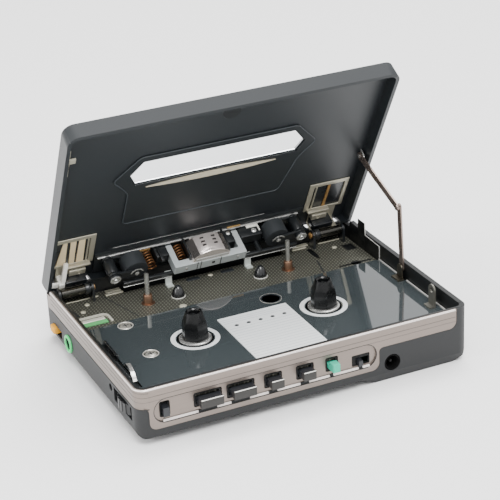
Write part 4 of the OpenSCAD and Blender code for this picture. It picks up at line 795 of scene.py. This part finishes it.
def dress_lid():
    c = colours()
    paint(lid_abs("moulded ABS lid", c.lid, 0.42, 0.66), "lid_shell")
    paint(moulded("fine-grained lid panel", rgba(c.lid, 0.85)[:3], 0.36), "lid_panel")
    paint(clear_pane("clear acrylic"), "lid_window")
    paint(gloss("printed polyester strip", "#b9b09a", 0.3, 0.2), "lens_strip")
    nickel = brushed("nickel sheet", "#b0ab9a", 0.32, metal=0.6, contrast=0.1)
    paint(nickel, "striker_plate", "hinge_plate_left", "hinge_plate_right")
    paint(plated("polished steel pin", "#d2d2ce", 0.12, metal=0.85), "hinge_pins", "stay_lug")
    paint(plated("dark nickel foot", "#6f6a5e", 0.3), "stay_foot")
    paint(plated("dark chrome link", "#8d7f77", 0.2, metal=0.8), "stay_lower", "stay_upper")
    black = gloss("black hinge block and painted shade", "#14171a", 0.25, 0.3)
    paint(black, "hinge_brackets")
    soften(0.2, "hinge_plate_left", "hinge_plate_right", "striker_plate", "lid_shell")
    soften(0.12, "stay_lower", "stay_upper")
    # Outline of the pressed panel: its corners rounded by short arcs, a thin bead along it, coloured far lighter than
    # the lid as a painted highlight on the panel's edge
    u = np.array([(-28.5, 21.0), (24.0, 21.0), (28.0, 35.8), (32.9, 42.4), (25.1, 51.4), (-26.2, 51.4),
                  (-34.0, 42.4), (-28.5, 35.8)])
    before, after = unit(np.roll(u, 1, 0) - u), unit(np.roll(u, -1, 0) - u)
    t = np.linspace(0, 1, 8)[None, :, None]
    bend = u[:, None] + 1.6 * ((1 - t) ** 2 * before[:, None] + t ** 2 * after[:, None])
    across, reach = bend.reshape(-1, 2).T
    path = xyz(across, HINGE_Y - reach, LID_IN - 0.42)
    bead = moulded("moulded bead with painted highlight", rgba(c.lid, 2.6)[:3], 0.35)
    piece("panel_bead", [tube(path, 0.17, 8, closed=True)], "lid", bead)
    # Round dark mark high on the inside of the lid
    z = LID_IN
    disc = [(0, z - 0.08), (2.9, z - 0.08), (3.0, z + 0.02), (3.0, z + 0.2), (0, z + 0.2)]
    piece("lid_disc", [turned(disc, (1.0, HINGE_Y - 63.6))], "lid",
          moulded("dark moulded disc", rgba(c.lid, 0.4)[:3], 0.42))
    # Hinge windows: flat springs that taper from two edges at the hinge end to two at the far end, over a dark sheet of
    # painted shade
    z = LID_IN - 0.3
    brass = plated("brass strip", "#a9824f", 0.3, metal=0.6)
    bronze = brushed("spring bronze strip", c.strip, 0.45, 0.3, along="Y", metal=0.25, contrast=0.1)
    steel = plated("dark polished barrel", "#4e4d49", 0.16)
    leaves = {"left": ((45.6, 48.6, 45.7, 47.0), (42.7, 44.4, 42.8, 44.6), (39.7, 42.0, 39.9, 41.9)),
              "right": ((43.0, 44.0, 43.2, 44.0),)}
    boss = [(0.9, 20.2), (0.9, 19.85), (0.55, 19.7), (0.5, 19.85), (0.5, 20.2)]
    axis = (HINGE_Y, HINGE_Z)
    for side, sign in SIDES:
        loops = [np.array([(a, 34.6, z), (b, 34.6, z), (e, 23.9, z), (d, 23.9, z)]) * (sign, 1, 1)
                 for a, b, d, e in leaves[side]]
        springs = piece("flat_springs_" + side, [sheet(loop, 0.28) for loop in loops], "lid",
                        bronze if side == "left" else brass)
        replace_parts(springs, "hinge_springs")
        shade = bars(0.02, (sign * 38.0, 23.6, LID_IN - 0.01, sign * 49.2, 34.8, LID_IN + 0.05))
        piece("hinge_shade_" + side, shade, "lid", black)
        rib = line((sign * 38.9, 23.8, z - 0.1), (sign * 38.9, 34.6, z - 0.1), 6)
        trim = [strip(rib, (1, 0, 0), 0.5, 0.3), turned(boss, (sign * 41.4, 37.4), steps=24)]
        trim += bars(0.15, (sign * 37.6, 34.85, 20.3, sign * 45.2, 35.6, 21.8))
        trim += bars(0.25, (sign * 39.2, 36.3, 19.9, sign * 44.6, 38.7, 21.8))
        piece("hinge_trim_" + side, trim, "lid", nickel)
        # Turned along the hinge line: the block's ring, the dark barrel and the pin's head
        ring, barrel, head = (turned(np.array(profile) * (1, sign), axis, "X", n) for n, profile in (
            (40, [(1.42, 39.05), (1.8, 39.05), (1.85, 39.3), (1.85, 40.5), (1.7, 40.7), (1.42, 40.7)]),
            (48, [(1.41, 40.72), (1.46, 40.72), (1.46, 48.3), (1.2, 48.42), (0.75, 48.42)]),
            (28, [(0, 37.88), (1.0, 37.88), (1.0, 37.5), (0.6, 37.25), (0, 37.2)])))
        block = bars(0.3, (sign * 39.2, 38.9, 17.7, sign * 46.4, 41.4, 21.8))
        piece("hinge_block_" + side, block + [ring], "lid", black)
        piece("hinge_barrel_" + side, [barrel], "lid", steel)
        piece("pin_head_" + side, [head], "case", brass)
    # White side plate, end block and lever beside the left hinge
    lever = strip(line((-45.6, 33.2, 21.2), (-47.2, 40.6, 18.2), 10), (0.98, 0.2, 0), 1.25, 0.9)
    cheek = bars(0.12, (-50.75, 22.4, 18.7, -50.45, 40.6, 21.9)) + bars(0.3, (-50.7, 38.6, 18.2, -48.4, 41.0, 18.9))
    cheek += bars(0.35, (-48.3, 39.2, 17.8, -46.45, 41.3, 21.8)) + [lever]
    piece("hinge_cheek", cheek, "lid", moulded("white acetal", "#e6e4dc", 0.4, 0.4, 0.006))


class LidOperator(bpy.types.Operator):
    """Finishes the lid, its pane, panel and strip, and makes the trim of the hinge plates"""
    bl_idname = "player.lid"
    bl_label = "Lid"

    def execute(self, context):
        dress_lid()
        return {"FINISHED"}


def dress_head():
    c, s = colours(), sizes()
    paint(gloss("black painted base", "#15191b", 0.35, 0.2), "head_base")
    paint(brushed("zinc plated bracket", "#c2c8c9", 0.42, metal=0.35, contrast=0.07), "head_bracket")
    paint(plated("polished permalloy", "#fdf3ee", 0.1, 12.0, 0.03, metal=0.72), "tape_head")
    black = gloss("black acetal post", "#15181a", 0.3, 0.2)
    paint(black, "guide_posts", "pinch_arm_left", "pinch_arm_right")
    paint(rubber("ground black rubber", "#23272a"), "pinch_roller_left", "pinch_roller_right")
    soften(0.25, "head_bracket", "tape_head")
    soften(0.15, "guide_posts", "pinch_arm_left", "pinch_arm_right")
    chrome = plated("bright plated steel", "#d9d9d6", 0.14, metal=0.7)
    # Coil springs: a helix of five turns with a straight lead at each end
    springs, t = [], np.linspace(0, 5, 121)
    for x in (-18.8, -8.45):
        turn = 2 * math.pi * t
        coil = xyz(x + 1.4 * np.cos(turn), HINGE_Y - 3.7 + 1.4 * np.sin(turn), LID_IN - 6.3 + t)
        path = np.concatenate([coil[0] - (0, 0, 0.5) + line((0, 0, 0), (0, 0, 0.4), 4), coil,
                               coil[-1] + line((0, 0, 0.1), (0, 0, 0.5), 4)])
        springs.append(tube(path, s.wire / MM))
    wire = plated("copper wire", c.copper, 0.3, metal=0.75)
    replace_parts(piece("coil_springs", springs, "lid", wire), "head_springs")
    rails = bars(0.12, (-35.2, 34.2, 20.95, 34.0, 34.85, 21.5))
    rails += bars(0.03, (-30.0, 31.96, 22.08, 22.0, 32.06, 22.2))
    rails += bars(0.08, (-29.0, 40.5, 12.55, -12.6, 40.75, 12.85), (12.6, 40.5, 12.55, 31.0, 40.75, 12.85))
    rails += bars(0.55, (-5.6, 34.1, 12.2, 6.0, 35.3, 13.4))
    piece("bright_rails", rails, "lid", chrome)
    # Black blocks beside the bracket and the channel below the rollers
    blocks = bars(0.25, (-16.7, 35.2, 17.2, -12.5, 38.8, 21.4), (12.5, 35.2, 17.2, 19.8, 39.0, 21.4),
                  (7.0, 34.6, 16.2, 9.9, 38.4, 21.4))
    blocks += bars(0.2, (-29.0, 38.9, 12.7, -12.35, 40.6, 13.7), (12.35, 38.9, 12.7, 31.0, 40.6, 13.7),
                   (-15.9, 34.4, 15.0, -14.9, 35.6, 20.5), (-7.0, 33.8, 13.6, -6.35, 36.0, 21.3),
                   (6.35, 33.8, 13.6, 7.0, 36.0, 21.3))
    blocks.append(turned([(0, 12.8), (0.85, 12.8), (0.85, 17.4), (0, 17.4)], (18.2, 39.6), steps=24))
    piece("head_blocks", blocks, "lid", black)
    clips = bars(0.1, (15.4, 34.85, 20.2, 19.0, 35.3, 21.4), (19.0, 34.85, 18.4, 19.5, 35.3, 21.4),
                 (-20.2, 36.3, 21.35, -17.4, 38.7, 21.75))
    white = moulded("white acetal bush", "#dfded6", 0.4, 0.4, 0.006)
    piece("head_clips", clips, "lid", white)
    gilt = bars(0.12, (-21.2, 34.9, 20.9, -17.6, 35.9, 21.6), (8.8, 33.6, 21.0, 13.4, 34.2, 21.5))
    piece("head_gilt", gilt, "lid", plated("gilt plate", "#b9935a", 0.3, metal=0.6))
    # Screw heads, and the end caps of the guide posts: a bright ring round a bright centre
    dome = [(0.85, 35.3), (0.85, 35.0), (0.55, 34.75), (0, 34.68)]
    flat = [(0.5, 12.2), (0.5, 12.02), (0.3, 11.95), (0, 11.93)]
    cap = [(1.75, 13.0), (1.75, 12.75), (1.6, 12.66), (1.2, 12.66), (1.1, 12.8), (0.55, 12.8), (0.45, 12.55),
           (0, 12.5)]
    small = [(r * 0.8, y - 0.5) for r, y in dome]
    screws = [turned(dome, (17.4, 18.9), "Y", 24), turned(small, (8.5, 19.6), "Y", 24)]
    screws += [turned(flat, p, steps=16) for p in ((-8.3, 37.6), (9.4, 37.4))]
    screws += [turned(cap, (x, 36.0), steps=40) for x in (-32.0, 32.0)]
    piece("head_screws", screws, "lid", chrome)
    # Slots in the head's face and in the bracket's bar, drawn as dark bars: painted shade in the slots
    slots = bars(0.05, *((x - 0.6, 31.12, z - 0.25, x + 0.6, 31.6, z + 0.25)
                         for x in (-1.9, 1.9) for z in (17.9, 16.5, 15.1)))
    slots += bars(0.02, *((x - w, y0, 12.05, x + w, y1, 12.3) for x, w, y0, y1 in (
        (-4.6, 0.12, 35.7, 39.2), (-3.4, 0.12, 35.7, 39.2), (0.9, 0.5, 36.9, 37.9), (3.4, 0.14, 35.7, 39.2))))
    piece("head_slots", slots, "lid", gloss("painted shade in the head slots", "#14100e", 0.4, 0.0))
    # Darker side bands of the head's face, painted shade on the sides of its curve: a thin shell that follows the
    # face's cylinder of 9 mm radius
    band = plated("polished band with painted shade", "#7d7976", 0.2, metal=0.85)
    for side, sign in SIDES:
        x = sign * np.linspace(4.3, 6.28, 12)
        front, rear = (HINGE_Y - 1.0 - np.sqrt(r * r - x * x) for r in (9.03, 8.9))
        low, high = 12.45, 19.35
        shell = [xyz(x, y, z) for y, z in ((front, low), (front, high), (rear, high), (rear, low))]
        piece("head_band_" + side, [skin(np.stack(shell, 1))], "lid", band)
    # Bright arc and axle end on each roller's fork
    t = np.linspace(math.radians(190), math.radians(335), 24)
    out = xyz(np.cos(t), np.sin(t), 0)
    for side, sign in SIDES:
        x = sign * ROLLER_X
        arc = strip(2.1 * out + (x, ROLLER_Y, 13.95), out, 0.45, 0.12)
        axle = turned([(0.75, 14.05), (0.75, 13.85), (0.4, 13.75), (0, 13.73)], (x, ROLLER_Y), steps=24)
        piece("roller_clip_" + side, [arc, axle], "pinch_arm_" + side, chrome)


class HeadOperator(bpy.types.Operator):
    """Finishes the head block on the lid and makes its coil springs, rails, end caps and small blocks"""
    bl_idname = "player.head"
    bl_label = "Head block"

    def execute(self, context):
        dress_head()
        return {"FINISHED"}


class PlayerPanel(bpy.types.Panel):
    """Lists the steps that dress the player"""
    bl_idname = "VIEW3D_PT_player"
    bl_label = "Cassette player"
    bl_space_type = "VIEW_3D"
    bl_region_type = "UI"
    bl_category = "Player"

    def draw(self, context):
        for op in OPERATORS:
            self.layout.operator(op.bl_idname)


OPERATORS = (StageOperator, CaseOperator, PanelOperator, ControlsOperator, DeckOperator, DriveOperator, LidOperator,
             HeadOperator)
CLASSES = (PlayerColours, PlayerSizes) + OPERATORS + (PlayerPanel,)


def register():
    for cls in CLASSES:
        bpy.utils.register_class(cls)
    bpy.types.Scene.player_colours = bpy.props.PointerProperty(type=PlayerColours)
    bpy.types.Scene.player_sizes = bpy.props.PointerProperty(type=PlayerSizes)


def unregister():
    del bpy.types.Scene.player_sizes
    del bpy.types.Scene.player_colours
    for cls in reversed(CLASSES):
        bpy.utils.unregister_class(cls)


def main():
    register()
    bpy.ops.player.stage()
    bpy.ops.player.case()
    bpy.ops.player.panel()
    bpy.ops.player.controls()
    bpy.ops.player.deck()
    bpy.ops.player.drive()
    bpy.ops.player.lid()
    bpy.ops.player.head()


if __name__ == "__main__":
    main()
